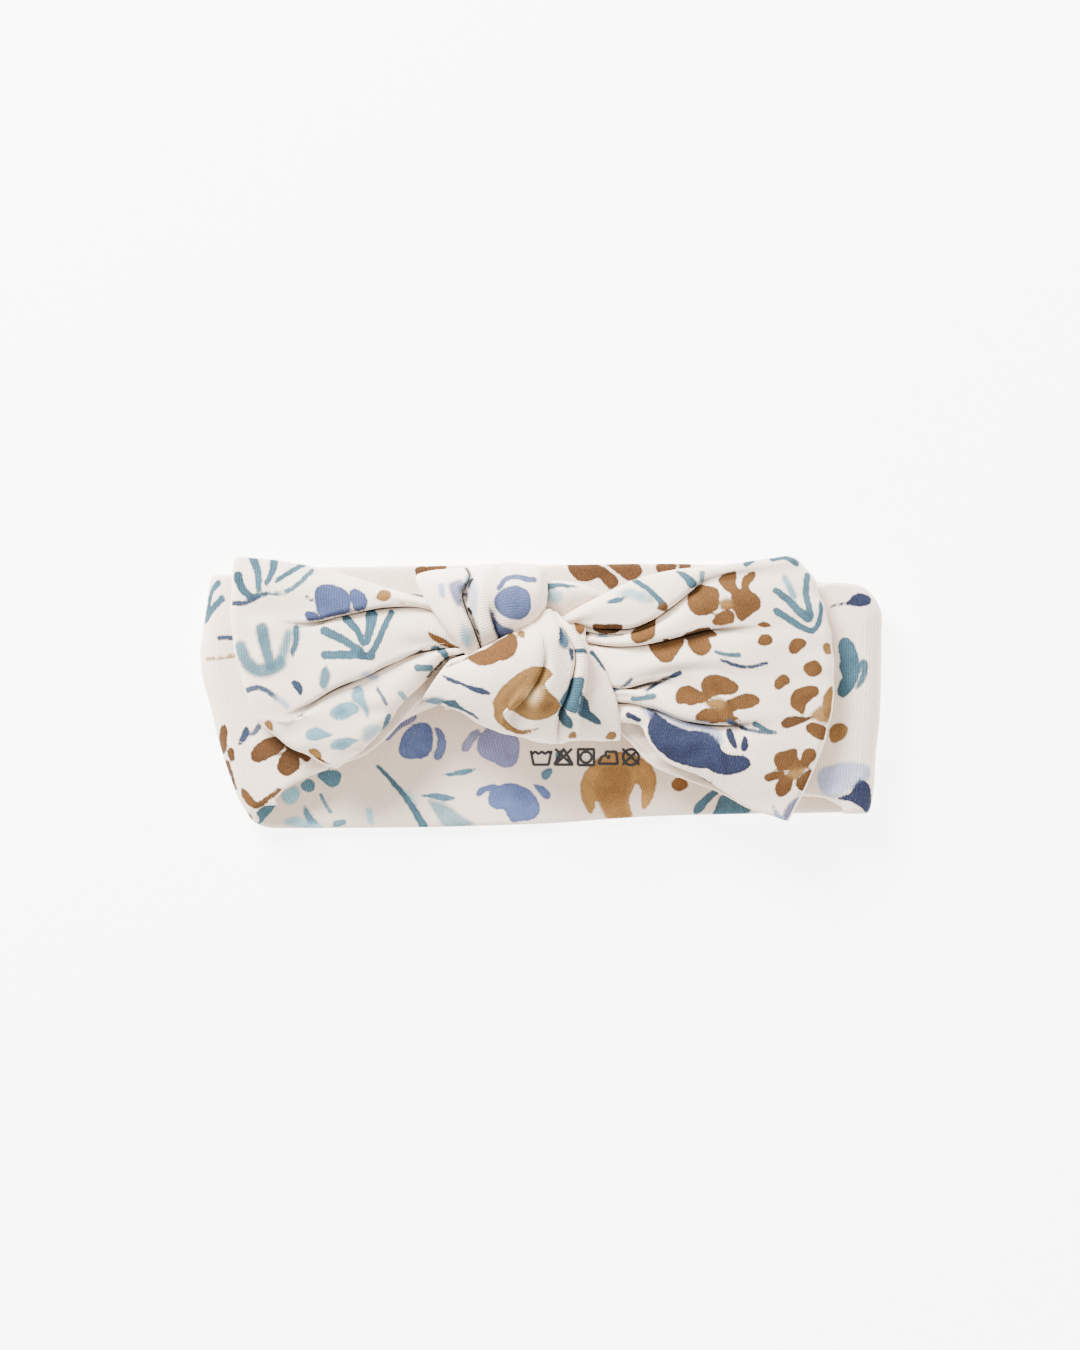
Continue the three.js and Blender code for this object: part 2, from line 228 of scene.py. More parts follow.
class Cloth:
    """A flat tube of cloth: its middle surface, and a face on either side of it."""

    def __init__(self, name, grid, wrinkle, half=PLY_PAIR):
        self.name = name
        crease = np.clip(grid[..., 3], 0, 1) if grid.shape[2] > 3 else np.zeros(grid.shape[:2])
        grid = grid[..., :3]
        s, t = lengths(grid, 1), lengths(grid, 0)
        n = normals_of(grid)
        if n[..., 2].mean() < 0:
            n = -n
        grid = grid + n * wrinkle(s, t)[..., None]
        n = normals_of(grid) * np.sign((normals_of(grid) * n).sum(axis=2, keepdims=True))
        rows, cols = s.shape
        to_edge = np.minimum(t, t[-1] - t)
        swell = half * np.sqrt(np.clip(1 - (1 - np.clip(to_edge / (1.5 * half), 0, 1)) ** 2, 0, 1))
        face = grid + n * swell[..., None]
        back = (grid - n * swell[..., None])[-2:0:-1]
        self.xyz = np.concatenate([face, back]).reshape(-1, 3)
        self.n = np.concatenate([n, -n[-2:0:-1]]).reshape(-1, 3)
        self.st = np.stack([np.concatenate([a, a[-2:0:-1]]) for a in (s, t)], axis=2).reshape(-1, 2)
        self.is_face = np.arange(len(self.xyz)) < rows * cols
        self.column = np.tile(np.arange(cols), 2 * rows - 2)
        self.rows, self.cols = 2 * rows - 2, cols
        self.plain_rows = rows
        self.from_edge = np.concatenate([to_edge, to_edge[-2:0:-1]]).ravel()
        self.crease = np.concatenate([crease, crease[-2:0:-1]]).ravel()
        self.ink = np.full(len(self.xyz), NO_INK)
        self.colour = np.ones((len(self.xyz), 4))
        self.ink_light_scale = 1.0

    def faces(self):
        """Quads round the tube, and a strip of them across each of its two cut ends."""
        r = np.arange(self.rows)[:, None] * self.cols
        r2 = ((np.arange(self.rows) + 1) % self.rows)[:, None] * self.cols
        c = np.arange(self.cols - 1)[None, :]
        quads = np.stack([r + c, r2 + c, r2 + c + 1, r + c + 1], axis=2).reshape(-1, 4).tolist()
        last = self.cols - 1
        for i in range(self.plain_rows - 1):
            j, k = self.opposite(i), self.opposite(i + 1)
            ring = [i, i + 1, k, j]
            ring = [v for m, v in enumerate(ring) if v not in ring[:m]]
            quads.append([v * self.cols for v in reversed(ring)])
            quads.append([v * self.cols + last for v in ring])
        return quads

    def opposite(self, row):
        """The row on the back face that lies under this row of the front face."""
        if row in (0, self.plain_rows - 1):
            return row
        return self.rows - row

    # ---- print ----
    def locate(self, x, y, where):
        """The topmost point of the cloth under a place seen from above."""
        d2 = (self.xyz[:, 0] - x) ** 2 + (self.xyz[:, 1] - y) ** 2
        d2 = np.where(where, d2, 1e6)
        near = d2 < NEARBY_SQUARED
        if near.any():
            i = int(np.argmax(np.where(near, self.xyz[:, 2], -1e6)))
        else:
            i = int(np.argmin(d2))
        return np.array([x, y, self.xyz[i, 2]]), self.st[i]

    def paint(self, marks, where, ink_light_scale=1.0):
        """Adds brush marks that are given as seen from above, on the points where is true of."""
        self.ink_light_scale = ink_light_scale
        for colour, strength, soft, path, radii in marks:
            if radii is None:
                self.fill(path, where, colour, strength, soft)
                continue
            path = rounded([(*p, r) for p, r in zip(path, radii)])
            spots = [self.locate(x, y, where) for x, y, _ in path]
            self.brush([p for p, _ in spots], [q for _, q in spots], [r for *_, r in path], where,
                       colour, strength, soft)

    def fill(self, outline, where, colour, strength, soft):
        """Inks the inside of a closed curve, as seen from above, but not the cloth behind a crease."""
        ring = closed_curve(outline)
        centre = ring.mean(axis=0)
        size = np.linalg.norm(ring - centre, axis=1).max()
        _, flat = self.locate(*centre, where)
        near = where & (np.linalg.norm(self.st - flat, axis=1) < size * 1.3 + 2.0)
        near &= np.linalg.norm(self.xyz[:, :2] - centre, axis=1) < size + 3.0
        best = np.full(len(self.xyz), NO_INK)
        best[near] = signed_distance(self.xyz[near, :2], ring)
        self.settle(best, colour, strength, soft)

    def brush(self, points, flats, radii, where, colour, strength, soft):
        """Lowers the distance to ink round one stroke, and gives the points nearest to it its colour."""
        reach = max(radii) * 2.2 + 3
        if len(points) == 1:
            points, flats, radii = points * 2, flats * 2, radii * 2
        best = np.full(len(self.xyz), NO_INK)
        for a, b, fa, fb, ra, rb in zip(points, points[1:], flats, flats[1:], radii, radii[1:]):
            span = b - a
            h = np.clip(((self.xyz - a) @ span) / max(span @ span, 1e-9), 0, 1)
            aside = (self.xyz - a - h[:, None] * span) * STROKE_SENSE
            d = np.linalg.norm(aside, axis=1) - (ra + (rb - ra) * h)
            flat = np.linalg.norm(self.st - fa - h[:, None] * (fb - fa), axis=1)
            best = np.minimum(best, np.where(where & (flat < reach), d, NO_INK))
        self.settle(best, colour, strength, soft)

    def settle(self, best, colour, strength, soft):
        """A mark covers the ones before it, and near its edge the nearest mark decides the colour."""
        nearer = (best < self.ink) | (best < 0)
        fade = np.clip((0.2 - best[nearer]) / (0.2 + 2.5 * soft), 0, 1)
        share = strength * np.where(self.ink[nearer] < 0, fade, 1.0)[:, None]
        base = np.where(self.ink[nearer, None] < 0, self.colour[nearer, :3], CREAM)
        # The ink's scale paints it paler on cloth in shade and deeper on lit cloth: painted light and shade.
        ink = CREAM if colour == "cream" else np.minimum(np.array(INKS[colour]) * self.ink_light_scale, CREAM)
        self.colour[nearer, :3] = base ** (1 - share) * np.array(ink) ** share
        self.colour[nearer, 3] = soft
        self.ink = np.minimum(self.ink, best)

    def scatter(self, where, seed):
        """Fills a hidden or unseen stretch with the same kinds of motif, at random."""
        dice = np.random.default_rng(seed)
        idx = np.flatnonzero(where)
        if len(idx) == 0:
            return
        lo, hi = self.st[idx].min(axis=0), self.st[idx].max(axis=0)
        for s in np.arange(lo[0] + 4, hi[0], MOTIF_SPACING):
            for t in np.arange(lo[1] + 5, hi[1], MOTIF_SPACING):
                at = np.array([s, t]) + dice.uniform(-3.4, 3.4, 2)
                self.spray(motif_at(dice), at, where, idx)

    def spray(self, motif, at, where, idx):
        """Paints a motif at a place on the flat cloth, leaving out strokes that would run off it."""
        for colour, strength, path in motif:
            points, flats = [], []
            for ds, dt, _ in path:
                flat = at + (ds, dt)
                i = idx[np.argmin(((self.st[idx] - flat) ** 2).sum(axis=1))]
                if np.abs(self.st[i] - flat).max() > 1.2:
                    break
                points.append(self.xyz[i])
                flats.append(flat)
            if len(points) == len(path):
                self.brush(points, flats, [r for *_, r in path], where, colour, strength, 0.15)

    # ---- mesh ----
    def build(self, material):
        """The mesh, with its map, its print and its creases as attributes."""
        mesh = bpy.data.meshes.new(self.name)
        mesh.from_pydata((self.xyz * MM).tolist(), [], self.faces())
        smooth = np.ones(len(mesh.polygons), bool)
        smooth[-2 * (self.plain_rows - 1) :] = False  # the ends are cut straight
        mesh.polygons.foreach_set("use_smooth", smooth)
        uv = mesh.uv_layers.new(name="cloth")
        corner = np.empty(len(mesh.loops), int)
        mesh.loops.foreach_get("vertex_index", corner)
        uv.data.foreach_set("uv", (self.st[corner] * CLOTH_UV).ravel())
        mesh.attributes.new("ink_distance", "FLOAT", "POINT").data.foreach_set("value", self.ink)
        mesh.attributes.new("crease", "FLOAT", "POINT").data.foreach_set("value", self.crease)
        inks = mesh.attributes.new("ink_colour", "FLOAT_COLOR", "POINT")
        inks.data.foreach_set("color", self.colour.ravel())
        mesh.materials.append(material)
        obj = bpy.data.objects.new(self.name, mesh)
        bpy.context.scene.collection.objects.link(obj)
        return obj


# ---- motifs ----
def pairs(flat):
    """The (x, y) points of a flat list."""
    return list(zip(flat[::2], flat[1::2]))


def blob(colour, outline, strength=1.0, soft=0.1):
    """A filled shape, from given x, y, x, y ... round its edge."""
    return (colour, strength, soft, pairs(outline), None)


def stroke(colour, path, first, last, strength=1.0, soft=0.1):
    """A brush stroke along x, y, x, y ... whose width runs from first to last, in millimetres."""
    points = pairs(path)
    count = len(points) - 1
    radii = [max(THINNEST, (first + (last - first) * k / count) * 0.55 + 0.2) for k in range(count + 1)]
    return (colour, strength, soft, points, radii)


def motif_at(dice):
    """One random motif, as strokes round (0, 0): (colour, strength, [(ds, dt, radius), ...])."""
    kind = dice.choice(["flower", "sprig", "dots", "leaves", "bloom"])
    turn = dice.uniform(0, 2 * math.pi)
    strokes = []

    def at(r, a):
        return (r * math.cos(a + turn), r * math.sin(a + turn))

    if kind == "flower":
        for k in range(5):
            a = k * FIFTH_OF_TURN + dice.uniform(-0.2, 0.2)
            w = dice.uniform(1.2, 1.9)
            strokes.append(("ochre", 1.0, [(*at(1.2, a), w * 0.6), (*at(3.1, a), w)]))
    elif kind == "sprig":
        ink = dice.choice(["teal", "deep_teal", "navy"])
        for k in range(5):
            strokes.append((ink, 0.9, [(*at(0.3, k * 0.5), 0.25), (*at(6 - abs(k - 2), k * 0.5), 0.75)]))
    elif kind == "dots":
        for k in range(4):
            strokes.append(("ochre", 0.95, [(*at(dice.uniform(1, 5), k * 1.6), dice.uniform(0.7, 1.2))]))
    elif kind == "leaves":
        for k in range(5):
            strokes.append(("aqua", 0.8, [(*at(2, k * 1.2), 0.6), (*at(4.2, k * 1.2), 1.1)]))
    else:
        ink = dice.choice(["violet", "indigo", "lilac"])
        strokes.append((ink, 1.0, [(*at(0, 0), 2.6), (*at(1.8, 0), 2.2)]))
        strokes.append((ink, 0.8, [(*at(4.6, 0.7), 0.6), (*at(4.9, -0.1), 0.9), (*at(4.4, -0.8), 0.5)]))
    return strokes


# ---- lines of the left loop, knot to outer fold, upper edge first ----
LEFT_FRONT = [
    [(-20.3, 22.4, 20), (-30.0, 24.2, 21), (-38.9, 26.6, 21), (-45.2, 28.7, 20.5), (-54.4, 31.6, 19.5),
     (-67.1, 34.3, 18.3), (-80.3, 35.6, 17)],
    [(-20.0, 20.8, 22.5), (-29.9, 23.1, 23.2), (-38.8, 24.7, 23.2), (-49.5, 26.6, 22),
     (-62.7, 27.4, 20.4), (-73.3, 27.9, 19), (-81.0, 28.8, 17.5)],
    [(-19.7, 19.2, 22), (-30.9, 22.5, 22.8), (-38.8, 22.6, 23), (-45.6, 21.7, 22.8), (-51.9, 20.4, 22.3),
     (-59.5, 18.5, 20.8), (-68.0, 18.8, 19.3), (-81.3, 23.0, 17.5)],
    [(-19.8, 19.6, 19.3), (-31.1, 23.5, 19), (-39.0, 23.8, 18.9), (-45.8, 23.0, 18.8),
     (-52.1, 21.4, 18.8), (-60.4, 18.8, 19.3), (-68.6, 17.2, 19), (-81.3, 20.4, 17.5)],
    [(-19.5, 17.7, 21), (-29.4, 20.8, 21.2), (-38.3, 20.6, 21.2), (-44.9, 19.5, 21.2),
     (-50.9, 18.2, 20.9), (-61.4, 15.6, 19.9), (-70.7, 14.6, 19.1), (-81.0, 15.6, 17.6)],
    [(-19.5, 15.1, 22), (-28.6, 15.6, 22.8), (-39.6, 14.3, 22.8), (-50.8, 11.4, 22), (-62.7, 8.3, 20.4),
     (-72.0, 7.2, 19.2), (-79.7, 8.3, 17.6)],
    [(-19.5, 12.2, 21.5), (-27.3, 11.5, 22), (-34.1, 10.1, 22.3), (-45.1, 4.9, 22.2), (-54.2, 1.0, 21.7),
     (-60.6, -2.7, 20.3), (-66.7, -5.3, 18.9), (-76.6, -2.2, 17.4)],
    [(-19.6, 12.8, 18.6), (-27.4, 12.5, 18.4), (-34.3, 11.3, 18.3), (-45.3, 6.3, 18.1), (-54.5, 2.3, 18),
     (-61.5, -2.2, 18.8), (-68.1, -5.9, 18.5), (-75.0, -5.4, 17.3)],
    [(-19.3, 10.6, 20.5), (-25.8, 10.4, 20.8), (-32.9, 8.8, 20.8), (-43.3, 3.3, 20.3),
     (-52.0, -1.1, 19.8), (-59.6, -5.6, 19.3), (-72.4, -9.3, 17.3)],
    [(-19.2, 10.4, 21), (-24.5, 10.4, 21.6), (-30.2, 7.2, 21.8), (-38.6, 0.4, 21.3), (-47.5, -5.6, 20.4),
     (-56.2, -10.1, 19.3), (-67.1, -13.5, 17.3)],
    [(-19.3, 9.9, 20), (-23.4, 10.1, 20.8), (-27.6, 7.0, 21), (-36.5, -1.7, 20.6), (-43.4, -9.0, 19.8),
     (-51.3, -15.0, 18.6), (-60.1, -17.2, 17.1)],
    [(-19.3, 9.3, 18), (-23.2, 9.1, 19), (-26.6, 6.2, 19.2), (-31.1, 2.0, 19.2), (-36.3, -3.2, 19),
     (-41.3, -10.3, 18.3), (-47.9, -16.6, 17.6), (-53.5, -20.3, 16.8)],
]
LEFT_BACK_TOP = [(-79.6, 34.2, 13.2), (-67.4, 32.9, 13.6), (-54.7, 29.9, 14), (-39.1, 24.9, 15),
                 (-20.4, 22.5, 16)]
LEFT_BACK_LOW = [(-52.4, -20.2, 13.2), (-47.9, -18.1, 13.8), (-40.2, -12.2, 15.2), (-33.8, -5.1, 16),
                 (-24.6, 4.1, 16.6), (-19.9, 7.3, 16.6)]

# ---- the right loop ----
RIGHT_FRONT = [
    [(4.3, 18.3, 19), (7.4, 20.3, 20.3), (12.1, 22.9, 21), (16.8, 25.3, 21), (25.2, 29.2, 20.4),
     (34.1, 31.5, 19.6), (47.3, 32.9, 18.6), (65.0, 35.6, 17)],
    [(4.3, 17.7, 21), (8.5, 19.2, 22.5), (14.4, 21.6, 23.2), (21.5, 24.2, 23), (28.8, 27.1, 22.2),
     (36.2, 29.7, 21.2), (47.8, 32.1, 19.5), (67.1, 34.8, 17.2)],
    [(4.6, 17.2, 20), (9.2, 18.1, 21.5), (14.5, 17.2, 22.2), (22.8, 16.9, 22.6), (28.0, 18.7, 22.7),
     (33.0, 21.8, 22.4), (39.6, 27.1, 21.2), (43.5, 30.0, 20.2), (68.6, 33.8, 17.3)],
    [(4.6, 17.7, 18), (9.3, 18.8, 18), (15.3, 18.3, 18.2), (22.9, 18.3, 18.4), (27.1, 20.1, 18.6),
     (31.6, 23.0, 18.8), (38.4, 28.2, 19), (43.6, 30.6, 19.3), (70.5, 32.2, 17.3)],
    [(4.8, 16.7, 18.4), (9.5, 16.4, 18.4), (15.8, 15.6, 18.8), (23.7, 15.4, 20), (29.4, 16.9, 20.6),
     (35.1, 20.3, 20.9), (42.0, 25.0, 20.5), (49.9, 27.7, 19.6), (72.3, 29.6, 17.4)],
    [(5.3, 15.6, 18.8), (11.9, 14.3, 19.4), (17.4, 13.8, 20.6), (26.2, 14.5, 22.2), (34.0, 17.7, 22.8),
     (41.9, 21.9, 22), (52.4, 24.0, 20.4), (73.6, 25.6, 17.6)],
    [(5.9, 14.6, 19.5), (13.2, 13.3, 20.5), (17.4, 12.6, 21.3), (24.6, 12.6, 22.4), (30.4, 13.5, 22.8),
     (37.9, 15.3, 22.5), (45.1, 16.9, 21.3), (58.2, 17.7, 19.6), (75.2, 21.2, 17.7)],
    [(5.9, 15.1, 17.8), (13.2, 14.1, 17.8), (17.4, 13.5, 17.9), (24.8, 13.7, 18), (30.5, 14.9, 18.2),
     (38.1, 16.7, 18.4), (45.2, 17.7, 19), (58.3, 17.2, 19.4), (76.0, 17.5, 17.7)],
    [(6.7, 13.0, 19), (13.7, 11.4, 20), (18.9, 10.4, 20.6), (26.3, 10.4, 20.9), (33.6, 11.4, 21),
     (41.9, 12.7, 20.8), (58.2, 13.5, 19.9), (76.8, 13.5, 17.7)],
    [(8.5, 9.6, 19.5), (15.8, 7.2, 21.5), (22.3, 6.2, 22.8), (31.4, 7.2, 22.8), (41.9, 8.3, 21.8),
     (58.2, 8.8, 20), (77.3, 8.8, 17.7)],
    [(10.6, 5.1, 19.5), (16.8, 2.5, 21.5), (21.0, 1.2, 22.2), (27.5, 2.5, 22.2), (35.9, 4.6, 21.4),
     (52.5, 4.1, 20), (77.5, 3.6, 17.7)],
    [(10.6, 5.7, 18), (16.9, 2.8, 18), (21.1, 1.7, 18.2), (27.6, 2.3, 19.4), (35.9, 3.6, 20.7),
     (52.5, 2.5, 19.9), (77.5, 1.5, 17.7)],
    [(11.9, 3.6, 19.5), (17.4, 0.4, 20.8), (23.6, -0.1, 22), (32.7, -1.1, 22.2), (41.9, -2.2, 21.6),
     (53.7, -2.7, 20.3), (77.3, -2.7, 17.7)],
    [(12.7, 2.0, 19.5), (18.4, -1.9, 20.5), (25.2, -2.6, 21.6), (32.7, -4.9, 22.2), (39.3, -7.3, 22),
     (48.7, -8.2, 21.3), (56.1, -7.4, 20.1), (76.8, -5.9, 17.7)],
    [(12.7, 2.3, 17.8), (18.5, -1.2, 17.8), (25.3, -1.4, 17.9), (32.9, -3.8, 18), (39.5, -6.1, 18.2),
     (48.9, -7.2, 18.6), (56.2, -7.4, 19.4), (76.5, -7.7, 17.7)],
    [(13.2, 0.4, 18.6), (19.0, -3.5, 19.2), (26.3, -4.8, 20.2), (34.1, -8.5, 21), (41.9, -11.6, 21.2),
     (53.8, -13.7, 20.2), (74.7, -14.0, 17.6)],
    [(13.7, -2.2, 18.8), (19.5, -5.6, 20), (26.8, -7.4, 21.4), (32.5, -13.1, 21.8), (40.6, -17.9, 21.2),
     (52.5, -22.3, 19.8), (71.5, -22.2, 17.4)],
    [(14.3, -4.3, 18.5), (20.5, -7.7, 19.5), (26.5, -9.2, 20.6), (28.9, -13.7, 20.8),
     (32.8, -18.1, 20.3), (38.9, -20.8, 19.6), (45.7, -24.5, 18.8), (54.7, -30.3, 17.6),
     (65.5, -34.3, 16.8)],
]
RIGHT_BACK_TOP = [(64.2, 34.2, 13.2), (47.6, 31.5, 14), (34.4, 29.4, 14.6), (16.9, 23.0, 15.5),
                  (4.3, 20.9, 16)]
RIGHT_BACK_LOW = [(64.2, -34.2, 13.2), (55.5, -31.0, 13.8), (46.0, -25.9, 14.4), (36.4, -22.5, 15.2),
                  (30.4, -20.1, 16), (25.3, -15.9, 16.6), (21.6, -10.6, 16.8), (15.9, -6.9, 16.6)]

# ---- the knot ----
KNOT_UPPER = [
    [(-29.0, 28.2, 10), (-31.8, 30.2, 15), (-32.4, 29.2, 20), (-29.6, 23.7, 23.5), (-24.6, 16.9, 24.5),
     (-19.0, 9.6, 22)],
    [(-24.8, 29.5, 10), (-26.7, 31.4, 17), (-26.0, 29.1, 24), (-23.5, 22.5, 26.6), (-20.9, 15.5, 26.8),
     (-17.9, 9.6, 23)],
    [(-20.6, 30.1, 10), (-20.1, 31.9, 18), (-18.9, 29.1, 25), (-20.9, 26.4, 26.5), (-19.9, 21.0, 27),
     (-17.8, 16.0, 26.5), (-16.1, 11.1, 23)],
    [(-19.5, 30.1, 10), (-18.6, 31.7, 16), (-17.2, 29.0, 20.5), (-19.0, 26.6, 20.5), (-18.5, 21.1, 20.8),
     (-16.6, 16.1, 21), (-15.3, 11.7, 20.5)],
    [(-16.9, 30.3, 10), (-16.4, 32.4, 18), (-15.3, 30.6, 25), (-17.0, 25.9, 27), (-16.8, 20.7, 27.3),
     (-15.5, 16.0, 26.8), (-14.2, 11.9, 23)],
    [(-13.7, 30.6, 10), (-13.3, 32.8, 18), (-12.6, 31.1, 26), (-13.9, 25.1, 28.5), (-13.4, 19.9, 28.3),
     (-12.1, 16.0, 27), (-10.9, 12.7, 22.6)],
    [(-12.6, 30.6, 10), (-12.2, 32.8, 18), (-11.6, 31.1, 26), (-12.6, 25.1, 28), (-12.1, 19.9, 26.6),
     (-11.1, 16.6, 24.2), (-10.4, 13.2, 21.6)],
    [(-7.3, 30.6, 10), (-7.0, 33.0, 18), (-6.7, 31.7, 26), (-6.9, 26.3, 30), (-6.9, 21.2, 30),
     (-6.9, 17.6, 28), (-6.9, 14.3, 23)],
    [(-1.5, 30.3, 10), (-1.2, 32.7, 18), (-0.7, 31.4, 25), (-0.7, 26.4, 28.8), (-0.9, 21.7, 28.8),
     (-1.5, 19.2, 27.2), (-2.2, 16.6, 23)],
    [(0.4, 29.5, 10), (0.9, 31.7, 16), (1.4, 31.1, 20), (1.7, 27.0, 23.6), (1.5, 22.9, 24),
     (1.4, 20.3, 22)],
]
KNOT_LOWER = [
    [(-23.7, 7.8, 20), (-26.0, 4.9, 21.5), (-28.7, 1.2, 20.6), (-30.6, -1.7, 17.5), (-28.4, -2.0, 13),
     (-24.8, -0.7, 11)],
    [(-19.2, 9.1, 22.4), (-20.4, 6.2, 25.5), (-22.8, 1.8, 24.5), (-25.3, -2.7, 20.5), (-23.6, -2.8, 14),
     (-20.5, -1.2, 11)],
    [(-15.0, 10.9, 24), (-15.5, 7.2, 27.3), (-17.6, 1.0, 27), (-20.5, -4.3, 22.5), (-18.9, -4.3, 15),
     (-16.3, -2.3, 11)],
    [(-11.1, 12.9, 25), (-10.5, 9.3, 28.8), (-11.8, 1.5, 28.5), (-15.8, -7.1, 23), (-14.1, -7.5, 15),
     (-12.1, -4.4, 11)],
    [(-5.1, 16.1, 26), (-3.5, 11.3, 30), (-6.1, 1.5, 29.8), (-10.3, -9.2, 23.5), (-8.9, -9.6, 15),
     (-7.3, -6.0, 11)],
    [(-2.0, 18.4, 26.4), (0.4, 13.4, 30.4), (0.1, 6.2, 30.6), (-4.0, -1.1, 30), (-8.5, -5.8, 27),
     (-6.7, -10.8, 22), (-5.2, -7.5, 11)],
    [(-1.5, 18.7, 26.2), (0.9, 13.4, 30.2), (0.9, 6.2, 29.4), (-3.3, -1.1, 28.8), (-7.7, -6.3, 26),
     (-5.1, -11.3, 21), (-3.9, -7.3, 11)],
    [(-0.4, 19.4, 26.4), (2.4, 13.9, 30.2), (3.5, 6.2, 30.2), (0.1, -3.7, 29), (-2.0, -11.8, 22),
     (-2.0, -10.9, 14), (-1.2, -6.8, 11)],
    [(1.9, 21.0, 26.4), (4.8, 15.5, 29.4), (6.8, 9.5, 29), (5.8, 0.5, 28.2), (3.2, -7.9, 25.6),
     (1.9, -12.7, 20), (1.9, -11.5, 13), (2.5, -7.0, 11)],
    [(2.7, 21.0, 25.8), (6.3, 15.0, 28.6), (8.4, 10.1, 28.6), (6.6, 0.0, 27.6), (4.5, -5.0, 26),
     (3.8, -12.9, 19.5), (3.8, -11.5, 13), (4.3, -7.0, 11)],
    [(3.0, 20.8, 24.6), (6.6, 14.8, 25.6), (8.7, 9.8, 24.6), (6.9, -0.1, 24), (4.8, -5.3, 23.6),
     (4.6, -12.7, 18.5), (4.9, -11.2, 13), (5.4, -7.0, 11)],
    [(3.7, 20.5, 25.4), (7.9, 15.2, 28), (10.2, 9.5, 28), (9.2, 0.5, 27.4), (7.4, -6.0, 25.6),
     (6.7, -12.4, 19), (7.0, -10.7, 13), (7.5, -7.0, 11)],
    [(4.3, 20.0, 25), (8.9, 15.0, 27.5), (11.6, 9.5, 27.9), (11.3, 3.1, 27.4), (10.0, -5.3, 25.6),
     (9.0, -12.2, 19), (9.3, -10.4, 13), (9.9, -7.0, 11)],
    [(4.5, 19.7, 23.8), (9.5, 14.5, 24.6), (12.1, 9.3, 24), (11.6, 3.1, 23.8), (10.3, -5.3, 23.2),
     (9.8, -12.2, 18), (10.4, -10.4, 13), (10.9, -7.0, 11)],
    [(4.8, 19.5, 24.5), (10.5, 13.4, 26.8), (14.4, 7.2, 27.2), (15.7, -0.8, 26.4), (15.7, -7.9, 23.6),
     (15.3, -12.4, 18), (15.9, -10.7, 13), (16.0, -7.0, 11)],
    [(5.3, 18.7, 22.5), (8.2, 16.1, 23.6), (12.9, 11.9, 23.8), (17.0, 6.2, 23.3), (18.6, 2.0, 23),
     (20.2, -2.7, 22.4), (21.3, -10.1, 19), (21.2, -12.5, 15.5), (20.7, -11.0, 12), (20.2, -7.5, 11)],
]
KNOT_REAR = [
    [(-2.5, 27.8, 14), (1.7, 28.6, 17.5), (5.9, 28.6, 19), (11.9, 27.7, 19.4), (17.4, 25.1, 17.5)],
    [(-2.5, 26.1, 18), (1.7, 27.1, 21.5), (5.8, 27.1, 22.4), (11.6, 26.1, 21.4), (16.9, 24.3, 18)],
    [(-1.5, 23.5, 19), (2.7, 23.9, 22.4), (6.4, 23.9, 22.6), (10.6, 23.4, 21), (15.3, 23.0, 18)],
    [(0.1, 20.9, 18), (3.2, 20.8, 20.6), (5.9, 20.6, 20.6), (9.0, 21.1, 19.4), (12.7, 21.7, 17.4)],
    [(1.4, 18.8, 16), (3.8, 18.5, 18), (5.9, 18.8, 18.6), (8.0, 19.8, 18), (10.6, 20.9, 16.6)],
]


